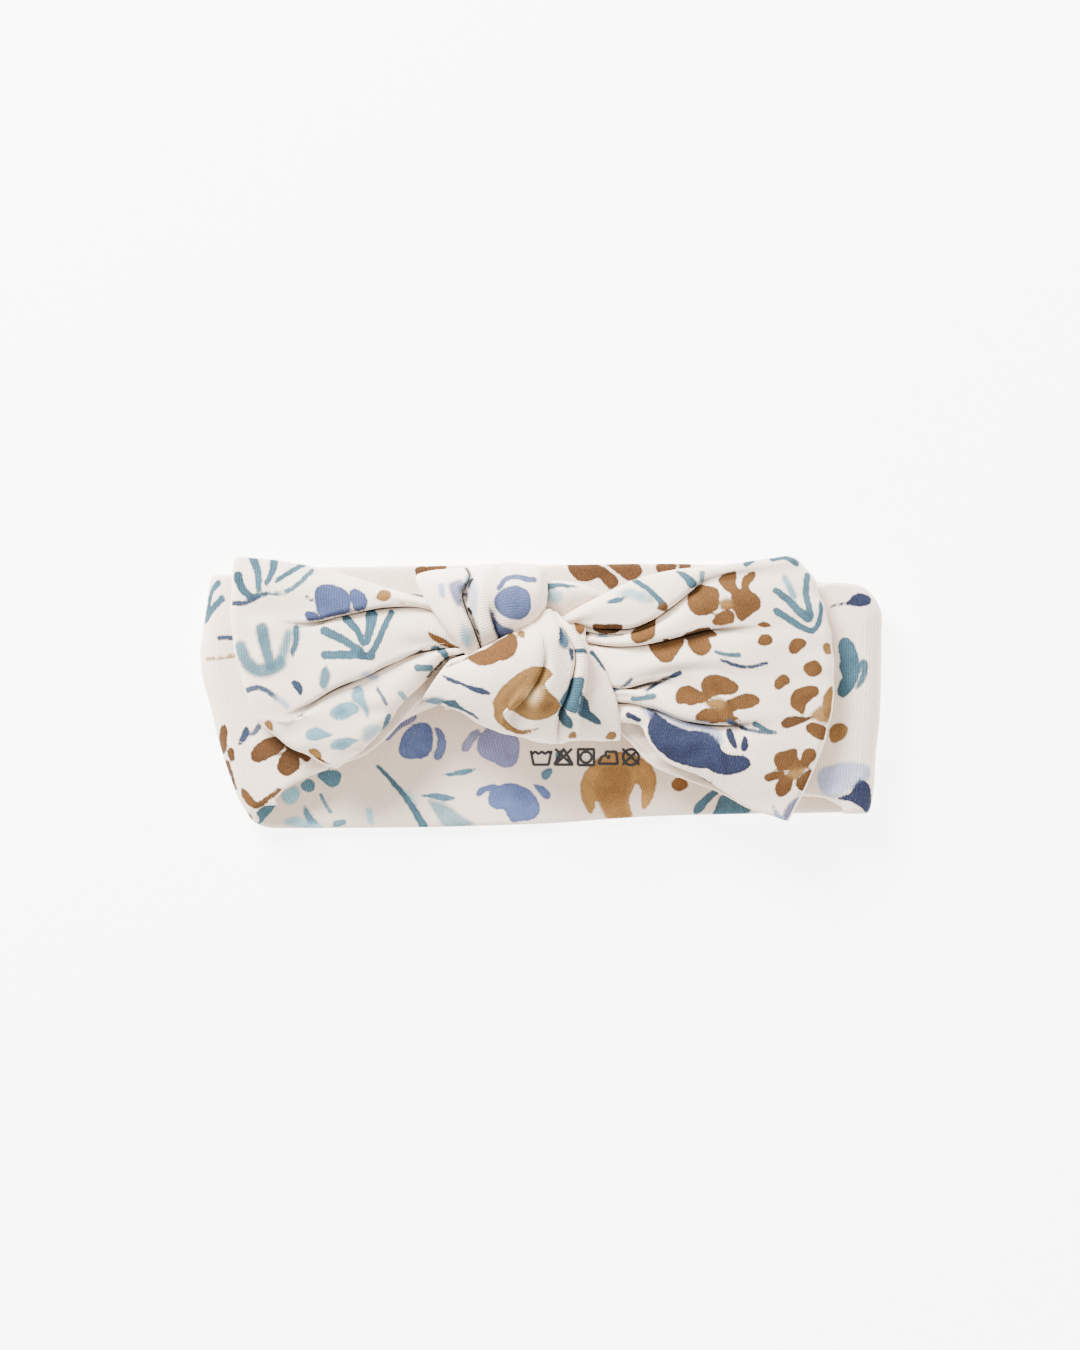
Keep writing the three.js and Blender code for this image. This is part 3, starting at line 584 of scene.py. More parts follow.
# ---- print, as seen from above ----
def left_loop_print():
    """The left loop: sprigs, violet petals, aqua fans and leaves."""
    return [
        stroke("teal", [-75.3, 35.3, -73.8, 31.3, -73.5, 26.6], 1.9, 1.1),
        stroke("teal", [-69.6, 35.3, -69.8, 31.9, -71.4, 28.5], 1.8, 1.0),
        stroke("teal", [-61.2, 33.7, -64.9, 31.6, -68.8, 29.0], 1.0, 0.8),
        stroke("teal", [-59.6, 31.6, -63.6, 27.7, -67.2, 25.8, -71.1, 25.8], 0.9, 0.8, 0.85),
        stroke("deep_teal", [-79.3, 30.3, -78.0, 27.1, -75.3, 24.8, -71.7, 25.6], 2.2, 0.8),
        stroke("navy", [-80.3, 23.2, -77.2, 23.2, -74.0, 24.5], 1.0, 0.7, 0.9),
        stroke("teal", [-72.7, 16.4, -71.9, 12.2, -70.4, 7.2], 2.9, 2.4, 0.85, 0.4),
        stroke("teal", [-78.5, 11.7, -76.9, 8.0, -74.3, 5.7, -70.6, 5.9, -68.0, 7.5], 2.9, 3.2, 0.75, 0.45),
        stroke("teal", [-68.0, 7.5, -66.7, 11.2, -65.6, 15.4], 2.8, 1.7, 0.65, 0.6),
        blob("teal", [-64.6, 16.7, -63.6, 17.7, -62.8, 16.7, -62.8, 13.3, -63.6, 10.6, -64.6, 8.8,
            -65.4, 10.4, -64.6, 13.5], 1.0, 0.25),
        stroke("navy", [-77.2, 0.2, -74.0, 1.0, -71.7, 0.4, -69.1, -1.4], 1.1, 0.9, 0.85),
        stroke("sky", [-69.1, -1.4, -65.9, -3.8], 1.2, 0.9, 0.9, 0.5),
        blob("navy", [-65.1, 2.5, -64.1, 3.1, -62.5, 2.3, -61.7, 0.2, -62.5, -1.1, -63.8, 0.4]),
        blob("violet", [-58.8, 26.1, -58.1, 27.4, -55.7, 28.2, -53.1, 27.7, -50.7, 26.6, -49.4, 24.8,
            -49.1, 22.7, -49.7, 20.9, -52.8, 20.1, -56.2, 19.3, -57.8, 20.3, -58.6, 23.0]),
        blob("violet", [-49.7, 26.1, -48.1, 26.9, -46.3, 26.1, -45.0, 24.5, -45.0, 22.2, -46.5, 21.4,
            -48.4, 21.4, -49.1, 23.5]),
        blob("violet", [-61.5, 20.1, -60.7, 21.1, -59.1, 20.9, -57.3, 19.6, -58.6, 18.8, -60.4, 19.0]),
        stroke("navy", [-60.9, 24.8, -59.6, 24.0], 0.7, 0.7, 0.8),
        # painted shade: an indigo line along the violet petals' lower edge, where they run under the crease's
        # lip
        stroke("indigo", [-60.4, 18.8, -56.2, 19.4, -52.0, 20.3, -49.1, 20.9, -46.0, 21.6], 0.5, 0.3, 0.9),
        blob("gold", [-42.6, 24.3, -42.1, 25.8, -40.8, 26.6, -38.9, 26.1, -38.7, 24.8, -40.0, 23.5,
            -41.5, 23.7]),
        stroke("teal", [-56.2, 15.9, -52.3, 14.1, -49.1, 12.2, -46.5, 10.6], 1.9, 1.3),
        stroke("teal", [-56.0, 9.6, -51.0, 9.6, -46.5, 9.6], 1.8, 1.7),
        stroke("deep_teal", [-46.5, 9.6, -43.9, 9.1], 1.8, 1.6),
        stroke("teal", [-50.5, 19.0, -48.9, 17.5, -47.3, 15.4, -46.0, 12.7], 1.7, 1.2),
        stroke("teal", [-43.9, 19.8, -44.2, 16.9, -45.0, 13.0], 2.7, 1.3),
        stroke("teal", [-38.7, 20.6, -40.5, 16.9, -42.3, 12.7, -44.2, 9.3], 1.2, 1.4),
        blob("teal", [-57.5, 3.1, -57.0, 5.7, -55.7, 6.7, -54.6, 4.6, -54.9, 2.3, -56.2, 0.4,
            -57.5, 1.5], 0.8, 0.3),
        blob("aqua", [-49.1, -2.2, -48.9, 0.4, -47.6, 1.7, -46.0, 0.4, -45.5, -2.2, -44.4, -5.3,
            -45.0, -6.9, -46.5, -4.3, -48.1, -3.0], 1.0, 0.3),
        blob("aqua", [-54.9, -5.9, -53.6, -3.8, -51.0, -2.7, -48.1, -3.0, -47.1, -4.8, -49.1, -6.4,
            -51.2, -7.4, -53.3, -7.4], 1.0, 0.2),
        blob("teal", [-54.4, -5.9, -53.1, -4.3, -51.0, -3.8, -49.7, -4.8, -51.0, -6.6,
            -53.1, -6.9], 0.6, 0.7),
        blob("aqua", [-61.5, -11.4, -60.4, -9.8, -58.1, -9.3, -56.0, -10.3, -53.9, -11.4, -56.0, -12.1,
            -58.6, -12.9, -60.7, -12.7], 1.0, 0.2),
        blob("aqua", [-54.9, -14.8, -54.4, -13.2, -52.0, -12.1, -49.1, -12.1, -47.1, -12.7, -48.9, -13.7,
            -50.7, -15.0, -53.1, -15.3], 1.0, 0.2),
        blob("teal", [-54.4, -14.5, -53.3, -13.5, -51.2, -12.9, -49.9, -13.2, -51.5, -14.5,
            -53.1, -14.8], 0.6, 0.6),
        blob("aqua", [-46.5, -10.6, -45.0, -8.7, -42.3, -8.7, -41.3, -10.0, -43.4, -11.9,
            -45.7, -13.2], 0.55, 0.6),
        stroke("teal", [-40.8, -11.6, -40.2, -9.0, -39.5, -6.4], 1.4, 0.9, 0.9),
        stroke("navy", [-42.3, 0.7, -40.0, -3.2], 0.5, 0.5, 0.6),
        stroke("sky", [-45.5, 4.4, -42.9, 3.6], 1.5, 1.2, 0.8, 0.5),
        stroke("teal", [-31.9, 6.2, -28.5, 6.2], 1.4, 1.3, 0.9),
        stroke("teal", [-27.7, 11.2, -25.3, 10.6, -24.3, 8.8], 1.2, 1.3),
        # painted shadow: near-black ink in the gap where the loop goes into the knot
        stroke("gap", [-19.3, 9.6, -21.4, 9.1, -23.5, 8.9, -25.3, 7.8, -27.1, 5.9,
            -29.2, 3.8], 0.9, 0.2, 0.95),
        stroke("aqua", [-36.3, -0.4, -34.2, -3.0], 1.0, 0.8, 0.8),
        blob("ochre", [-29.2, 15.6, -26.9, 14.8, -23.5, 13.0, -20.1, 10.6, -21.1, 10.4, -24.0, 11.4,
            -27.7, 13.3]),
        blob("gold", [-72.2, -8.0, -70.9, -7.4, -69.8, -9.3, -70.1, -10.6, -71.4, -9.8]),
        blob("gold", [-60.7, -15.3, -58.8, -14.8, -57.0, -16.9, -58.1, -17.9, -59.9, -16.6]),
        stroke("ochre", [-58.1, -17.6, -55.4, -19.5], 0.7, 0.4),
    ]


def right_loop_print():
    """The right loop: bronze flowers, teal leaves and a large indigo petal."""
    return [
        blob("teal", [16.6, 23.2, 19.0, 24.3, 21.6, 24.8, 23.9, 24.8, 22.1, 23.5, 19.5, 23.0]),
        blob("aqua", [19.7, 25.6, 23.2, 26.9, 26.6, 26.1, 30.0, 23.7, 27.1, 23.2, 23.7, 24.3], 0.7, 0.5),
        stroke("teal", [24.7, 29.2, 28.7, 26.4, 32.1, 23.0], 1.0, 1.1),
        blob("teal", [35.5, 31.6, 37.8, 31.3, 39.9, 29.8, 41.5, 28.2, 39.4, 26.9, 37.6, 29.2]),
        stroke("teal", [42.5, 31.1, 42.3, 29.0], 0.9, 0.8, 0.6),
        stroke("teal", [60.9, 34.7, 64.5, 35.3, 67.4, 33.7], 0.9, 1.3),
        stroke("teal", [54.1, 33.4, 55.9, 34.2], 1.0, 0.7),
        blob("ochre", [30.5, 21.6, 31.5, 23.0, 32.6, 23.7, 33.4, 22.4, 33.1, 20.9, 31.8, 21.1]),
        blob("ochre", [38.6, 24.0, 39.1, 26.1, 41.0, 27.7, 43.6, 28.5, 45.9, 27.9, 47.0, 26.1, 47.0, 23.7,
            46.7, 21.9, 45.2, 20.6, 42.8, 19.8, 40.4, 20.1, 38.9, 21.6]),
        blob("ochre", [46.7, 29.2, 47.8, 30.6, 49.6, 31.3, 51.2, 31.6, 51.7, 30.3, 51.4, 28.5, 52.2, 26.1,
            51.2, 24.5, 49.6, 25.8, 48.0, 27.1]),
        blob("ochre", [52.8, 25.8, 52.8, 28.5, 53.3, 30.0, 54.6, 31.1, 56.2, 31.6, 56.7, 30.6, 55.9, 29.0,
            54.8, 27.7, 55.4, 25.3]),
        blob("ochre", [49.9, 24.8, 51.4, 26.6, 53.3, 27.1, 55.1, 26.6, 56.9, 25.3, 58.0, 23.5, 57.7, 21.9,
            56.2, 20.6, 54.3, 19.3, 52.8, 18.2, 51.7, 19.3, 50.7, 20.9, 49.6, 22.4]),
        blob("ochre", [44.9, 17.7, 45.7, 19.6, 47.3, 20.9, 49.1, 21.6, 50.9, 20.3, 50.7, 18.0, 48.6, 17.5,
            46.5, 17.2]),
        blob("gold", [47.0, 23.5, 48.8, 24.5, 50.7, 24.0, 50.9, 22.2, 49.3, 21.4, 47.3, 21.4], 1.0, 0.4),
        blob("ochre", [30.7, 20.9, 30.5, 18.8, 30.2, 16.1, 30.0, 14.3, 27.6, 13.0, 25.2, 12.5, 23.9, 13.5,
            23.9, 15.4, 25.2, 16.9, 26.8, 18.2, 28.7, 19.8]),
        blob("bronze", [13.7, 17.5, 17.1, 17.7, 21.6, 17.5, 21.3, 15.9, 19.0, 15.1, 16.3, 15.1,
            14.2, 15.9]),
        blob("ochre", [28.4, 12.2, 30.7, 14.6, 33.6, 15.6, 37.3, 14.6, 37.8, 12.7, 36.2, 10.4, 34.9, 8.3,
            33.4, 7.5, 31.5, 7.8, 30.0, 9.3]),
        blob("ochre", [38.6, 13.5, 40.2, 15.1, 42.8, 15.1, 44.4, 13.5, 44.9, 11.4, 43.8, 9.9, 42.3, 9.3,
            40.4, 9.9, 39.1, 11.4]),
        blob("bronze", [36.8, 14.3, 39.9, 15.9, 43.3, 16.9, 45.7, 15.9, 46.7, 14.8, 45.2, 14.1, 42.8, 14.1,
            39.4, 13.3]),
        blob("ochre", [56.9, 17.5, 58.0, 18.2, 59.6, 18.2, 60.6, 17.2, 58.8, 16.7]),
        blob("ochre", [56.9, 13.3, 57.7, 14.6, 59.6, 15.1, 60.9, 14.1, 60.9, 12.7, 59.0, 12.0, 57.5, 12.2]),
        blob("ochre", [65.1, 11.4, 65.8, 13.3, 67.4, 14.1, 69.8, 13.3, 69.8, 12.0, 68.5, 10.9, 67.4, 9.9,
            65.6, 9.9]),
        blob("gold", [74.2, 12.0, 75.3, 13.0, 76.6, 12.0, 76.6, 10.1, 75.0, 9.6]),
        blob("ochre", [69.0, 6.5, 70.3, 7.8, 71.9, 8.3, 73.4, 7.5, 74.2, 5.7, 73.2, 4.4, 71.6, 3.8,
            69.8, 4.6]),
        blob("ochre", [61.4, 2.3, 62.2, 3.8, 63.8, 4.6, 65.3, 3.8, 65.6, 2.3, 63.8, 1.2, 62.4, 0.4,
            61.4, 1.0]),
        stroke("teal", [61.9, 21.1, 65.6, 18.8, 69.0, 16.7, 71.3, 15.9, 72.9, 17.5, 73.7, 20.3,
            74.0, 24.0], 1.5, 0.8),
        stroke("teal", [61.9, 26.4, 65.1, 24.0, 67.9, 21.1, 70.3, 19.3], 1.3, 2.0, 0.95),
        stroke("aqua", [64.3, 29.8, 65.6, 27.1, 66.6, 25.1], 1.2, 1.3, 0.9, 0.3),
        stroke("teal", [70.3, 30.6, 69.8, 26.1, 71.1, 19.8], 1.2, 1.3, 0.9),
        stroke("teal", [45.9, 10.4, 49.1, 9.6, 52.0, 9.6], 0.5, 0.9, 0.9),
        stroke("navy", [47.3, 8.3, 52.0, 6.7, 55.6, 6.5, 59.3, 7.5], 0.3, 0.6, 0.95),
        stroke("navy", [27.6, 0.4, 31.5, 2.5, 36.5, 4.9], 0.5, 0.9),
        stroke("navy", [19.0, 0.2, 21.6, 1.2, 23.9, 3.3], 0.7, 0.6, 0.8),
        stroke("teal", [24.2, -1.9, 27.1, -1.7, 29.7, -1.1], 0.8, 1.2, 0.85),
        blob("ochre", [42.3, 0.2, 42.3, 2.8, 43.6, 4.1, 45.9, 4.6, 48.8, 3.8, 51.2, 2.5, 52.2, 1.0,
            51.2, -0.4, 49.1, -0.9, 46.7, -0.9, 44.6, -1.7]),
        blob("ochre", [35.5, -0.4, 36.8, 1.2, 38.9, 1.7, 41.0, 0.7, 42.8, -0.1, 44.9, -1.4, 43.6, -2.7,
            41.2, -3.2, 39.4, -3.8, 37.8, -3.2, 35.7, -3.2]),
        blob("ochre", [47.3, -3.0, 50.1, -1.7, 52.8, -0.6, 55.1, -0.4, 57.2, -1.4, 57.7, -2.5, 56.4, -3.8,
            54.3, -4.5, 51.7, -4.8, 49.6, -5.9, 47.5, -5.3]),
        blob("ochre", [40.4, -7.2, 41.2, -5.6, 43.1, -4.3, 45.7, -4.0, 48.8, -5.1, 51.2, -6.4, 52.8, -7.4,
            49.3, -8.0, 46.2, -8.2, 43.3, -8.2]),
        blob("gold", [43.1, -3.2, 45.2, -1.7, 47.3, -1.7, 49.1, -2.7, 47.8, -4.5, 44.9, -4.5], 1.0, 0.4),
        blob("indigo", [27.9, -4.3, 30.2, -5.1, 32.1, -6.6, 34.2, -8.0, 36.8, -9.3, 39.4, -10.0,
            42.5, -10.0, 45.2, -11.1, 47.0, -12.9, 47.5, -15.0, 49.3, -16.3, 52.5, -16.6, 54.6, -17.4,
            55.4, -19.0, 54.3, -20.3, 52.0, -21.3, 48.8, -21.8, 45.9, -21.3, 44.1, -20.3, 41.0, -20.0,
            37.8, -19.2, 34.7, -18.2, 32.1, -16.3, 30.0, -14.2, 28.7, -12.1, 28.1, -9.5, 28.7, -6.9]),
        blob("sky", [29.2, -3.8, 32.6, -5.3, 36.2, -7.2, 40.4, -8.2, 44.1, -8.7, 47.0, -10.3, 48.0, -12.9,
            46.5, -13.5, 44.9, -11.4, 41.7, -10.0, 37.8, -9.8, 34.2, -8.0, 31.0, -5.9], 0.85, 0.6),
        blob("sky", [26.6, -4.0, 28.4, -3.8, 30.2, -5.1, 29.2, -7.2, 27.6, -6.1], 0.8, 0.5),
        blob("indigo", [48.6, -10.6, 49.6, -9.5, 50.7, -10.6, 51.4, -12.9, 51.7, -15.0, 50.1, -14.2]),
        blob("indigo", [52.8, -12.7, 53.8, -11.4, 54.6, -13.2, 54.1, -15.5, 52.8, -15.5]),
        stroke("navy", [49.3, -7.7, 51.4, -8.7, 53.8, -9.8], 1.0, 0.6),
        stroke("navy", [53.8, -9.8, 57.7, -10.6, 61.7, -10.8], 0.4, 0.3, 0.7),
        stroke("teal", [56.4, -8.5, 58.8, -9.8, 60.9, -10.6], 1.1, 0.5),
        stroke("indigo", [23.2, -6.1, 26.0, -7.4], 1.1, 0.8),
        blob("ochre", [65.6, -1.9, 66.6, 0.2, 68.7, 1.2, 71.1, 1.7, 72.9, 1.2, 73.4, -0.4, 71.6, -1.9,
            70.0, -3.5, 69.0, -6.1, 67.7, -5.3, 65.8, -4.0]),
        blob("gold", [74.0, -3.2, 74.5, -1.1, 75.5, 0.7, 76.9, 1.5, 77.4, -1.1, 77.1, -4.3, 76.9, -6.9,
            75.0, -6.6, 74.0, -5.1]),
        blob("gold", [70.8, -6.6, 72.4, -4.5, 74.2, -3.5, 76.6, -5.1, 76.6, -8.0, 74.0, -8.2,
            72.1, -7.4], 0.85, 0.4),
        blob("bronze", [63.0, -8.5, 64.3, -6.9, 66.6, -6.4, 69.8, -6.6, 72.1, -6.4, 70.0, -7.7, 67.7, -8.7,
            65.6, -9.5, 63.8, -9.5]),
        blob("ochre", [69.5, -9.5, 71.1, -8.0, 72.9, -8.2, 75.3, -9.5, 75.5, -11.4, 74.5, -12.7,
            72.7, -12.4, 71.1, -11.4]),
        blob("ochre", [61.1, -17.9, 61.7, -16.3, 63.8, -15.5, 66.1, -15.0, 67.4, -15.0, 67.7, -17.1,
            68.7, -18.4, 68.7, -20.0, 66.9, -20.8, 64.8, -20.8, 62.4, -20.3]),
        blob("ochre", [68.2, -19.2, 68.5, -17.1, 69.3, -15.3, 70.8, -14.8, 72.4, -15.5, 72.7, -17.4,
            71.3, -18.7, 69.8, -20.3]),
        blob("ochre", [58.5, -22.4, 59.8, -21.3, 62.2, -20.8, 64.3, -20.8, 64.0, -22.4, 61.9, -23.1,
            59.8, -23.7]),
        blob("ochre", [62.2, -23.7, 64.0, -21.8, 66.1, -22.1, 66.4, -24.2, 65.8, -26.0, 64.5, -27.3,
            63.0, -27.6, 61.7, -26.5, 61.7, -25.0]),
        blob("ochre", [67.4, -22.9, 69.0, -21.3, 71.1, -20.3, 71.9, -22.1, 71.1, -24.5, 70.0, -26.3,
            68.2, -25.8, 67.2, -24.7]),
        blob("gold", [64.8, -20.8, 67.4, -19.7, 69.8, -20.3, 68.5, -22.4, 66.6, -23.4,
            64.5, -22.1], 0.9, 0.4),
        blob("sky", [60.9, -28.9, 61.9, -30.2, 63.2, -32.3, 65.1, -33.9, 63.2, -34.4, 61.7, -32.6]),
        blob("lilac", [68.5, -27.6, 66.4, -28.4, 64.5, -30.5, 63.8, -32.8, 65.1, -34.1, 66.6, -31.5,
            68.2, -29.7], 0.85, 0.3),
        stroke("navy", [38.3, -21.6, 42.0, -23.1, 45.2, -25.2], 1.2, 1.4),
    ]


def knot_upper_print():
    """The knot's upper wrap: violet petals in a ring."""
    return [
        blob("sky", [-26.4, 28.0, -25.3, 28.5, -24.6, 26.4, -24.8, 24.1, -25.9, 25.4], 1.0, 0.3),
        blob("lilac", [-23.5, 28.2, -22.0, 29.0, -19.9, 29.0, -20.4, 26.4, -20.1, 23.8, -20.9, 21.8,
            -22.7, 24.3], 0.8, 0.4),
        stroke("sky", [-18.6, 29.5, -17.0, 25.4, -17.3, 20.7], 1.8, 1.2, 0.8, 0.6),
        # painted shadow: a near-black line down the deep fold of the upper wrap
        stroke("gap", [-17.8, 29.3, -19.4, 25.1, -18.3, 21.0, -16.5, 16.3, -15.5, 12.7], 0.9, 0.7),
        # part print, part painted shade: a navy line along the upper wrap's fold
        stroke("navy", [-18.9, 25.9, -19.1, 23.3, -18.1, 20.2, -16.5, 16.6], 1.1, 0.8, 0.6, 0.4),
        stroke("teal", [-18.1, 30.1, -19.6, 26.4], 0.9, 1.2, 0.8, 0.4),
        blob("aqua", [-19.9, 17.6, -18.1, 16.0, -17.3, 13.2, -18.9, 11.4, -20.4, 13.4], 0.75, 0.7),
        blob("violet", [-11.8, 23.3, -11.1, 25.4, -9.0, 26.9, -6.4, 27.5, -4.1, 26.9, -2.5, 25.4,
            -2.2, 23.1, -2.5, 20.7, -3.8, 19.2, -6.1, 18.6, -8.7, 19.2, -10.8, 20.7], 0.9),
        stroke("violet", [-10.5, 26.9, -9.0, 29.0, -6.1, 29.8, -3.5, 29.3, -1.5, 29.0], 0.9, 1.2, 0.85),
        blob("violet", [-12.9, 21.8, -12.1, 20.7, -11.1, 18.6, -9.0, 16.8, -6.6, 16.0, -7.4, 14.2,
            -9.5, 13.2, -10.8, 13.7, -11.8, 16.0, -12.6, 18.9], 0.85, 0.2),
    ]


def knot_lower_print():
    """The knot's lower wrap: a gold flower, ochre petals and teal leaves."""
    return [
        blob("ochre", [-18.9, 9.0, -16.5, 10.3, -13.7, 11.4, -11.8, 12.7, -9.2, 14.2, -7.2, 15.5,
            -5.9, 14.2, -5.6, 11.9, -6.4, 9.8, -8.2, 8.3, -10.3, 8.0, -12.1, 7.2, -14.4, 6.7, -16.8, 7.2]),
        # painted shadow: the dark gap at the knot's edge, next to the left loop
        stroke("gap", [-24.3, 6.7, -22.2, 7.7, -19.1, 8.8], 0.5, 0.3),
        blob("gold", [-5.9, 15.3, -4.8, 16.0, -3.8, 15.3, -4.3, 13.7]),
        blob("gold", [-11.8, -5.2, -12.1, -2.6, -10.8, -0.1, -9.0, 2.0, -6.6, 4.1, -4.1, 5.7, -0.9, 6.7,
            1.9, 6.2, 3.5, 4.6, 2.4, 3.3, 1.4, 2.0, 2.4, 0.2, 4.3, -1.6, 5.3, -3.2, 4.8, -5.0, 3.0, -6.5,
            0.4, -7.3, -2.5, -7.3, -4.6, -6.5, -6.1, -5.5, -8.2, -4.7, -9.5, -5.5, -8.7, -7.3, -7.2, -8.9,
            -5.1, -9.9, -2.0, -9.7, 0.1, -9.4, -3.0, -11.0, -6.1, -11.0, -8.7, -9.9, -10.8, -8.1,
            -11.8, -6.8]),
        blob("ochre", [-10.3, -3.2, -8.7, -0.1, -6.1, 2.5, -3.0, 4.4, -4.1, 2.0, -6.6, -0.6,
            -8.7, -3.2], 0.6, 0.7),
        blob("cream", [-4.6, -1.1, -2.2, 2.0, 0.6, 1.8, 1.7, -1.1, -0.7, -3.9, -3.5, -3.7], 0.6, 0.9),
        blob("ochre", [-0.4, -3.7, 1.9, -2.1, 4.3, -2.9, 3.2, -5.2, 0.4, -5.8], 0.6, 0.6),
        blob("navy", [-25.6, 4.4, -22.0, 3.3, -19.1, 2.0, -16.0, 1.2, -13.9, 0.7, -12.6, -0.6, -14.4, -0.8,
            -17.0, -0.1, -20.1, 1.5, -23.3, 2.5]),
        blob("teal", [-31.3, -3.4, -29.2, -1.6, -26.9, -1.4, -24.6, -2.1, -26.6, -3.9,
            -29.5, -4.2], 0.75, 0.4),
        blob("deep_teal", [-25.6, -2.6, -23.5, -2.1, -22.0, -2.1, -20.9, -3.4, -19.1, -4.7, -17.3, -5.5,
            -15.7, -7.3, -17.8, -6.3, -20.1, -5.0, -22.7, -4.2, -24.6, -3.4]),
        blob("teal", [5.8, 16.8, 7.1, 15.0, 7.9, 12.7, 7.1, 11.1, 5.3, 11.6, 4.8, 13.2,
            5.6, 14.5], 0.9, 0.4),
        stroke("navy", [5.6, 16.6, 5.6, 13.2], 0.8, 0.7),
        stroke("navy", [8.1, 10.8, 8.4, 8.5], 0.8, 0.6),
        stroke("deep_teal", [9.4, 10.6, 12.0, 10.6, 14.6, 9.6, 16.5, 7.0, 18.0, 5.7], 0.8, 1.2),
        blob("teal", [8.1, 3.3, 11.5, 3.8, 11.3, 1.0, 10.5, -2.1, 9.7, -5.5, 8.1, -5.5, 5.8, -3.7,
            5.0, -2.6, 6.3, -0.6, 7.4, 1.5]),
        blob("deep_teal", [4.3, -3.7, 5.8, -3.4, 7.1, -5.5, 8.7, -7.8, 8.4, -9.7, 6.8, -9.4, 5.0, -7.1]),
        blob("deep_teal", [10.7, 0.5, 11.8, -1.4, 12.8, -2.6, 13.1, -4.7, 15.2, -6.5, 16.2, -8.6,
            14.6, -8.6, 12.0, -7.1, 10.0, -6.0, 10.5, -2.9]),
        blob("gold", [7.4, -12.0, 7.9, -10.7, 9.2, -10.4, 9.7, -12.0]),
        blob("gold", [17.2, -12.0, 18.0, -10.7, 19.6, -10.4, 20.3, -11.7, 18.8, -12.8]),
    ]


def knot_rear_print():
    """The small fold behind the knot: one teal leaf."""
    return [
        blob("teal", [1.4, 27.9, 4.0, 28.5, 6.9, 28.2, 10.8, 27.4, 7.4, 27.1, 4.3, 27.1, 2.5, 26.1,
            1.7, 24.0, 0.9, 25.6]),
        blob("aqua", [1.7, 26.4, 4.3, 26.6, 6.1, 24.8, 4.8, 23.0, 2.2, 23.5], 0.7, 0.7),
    ]


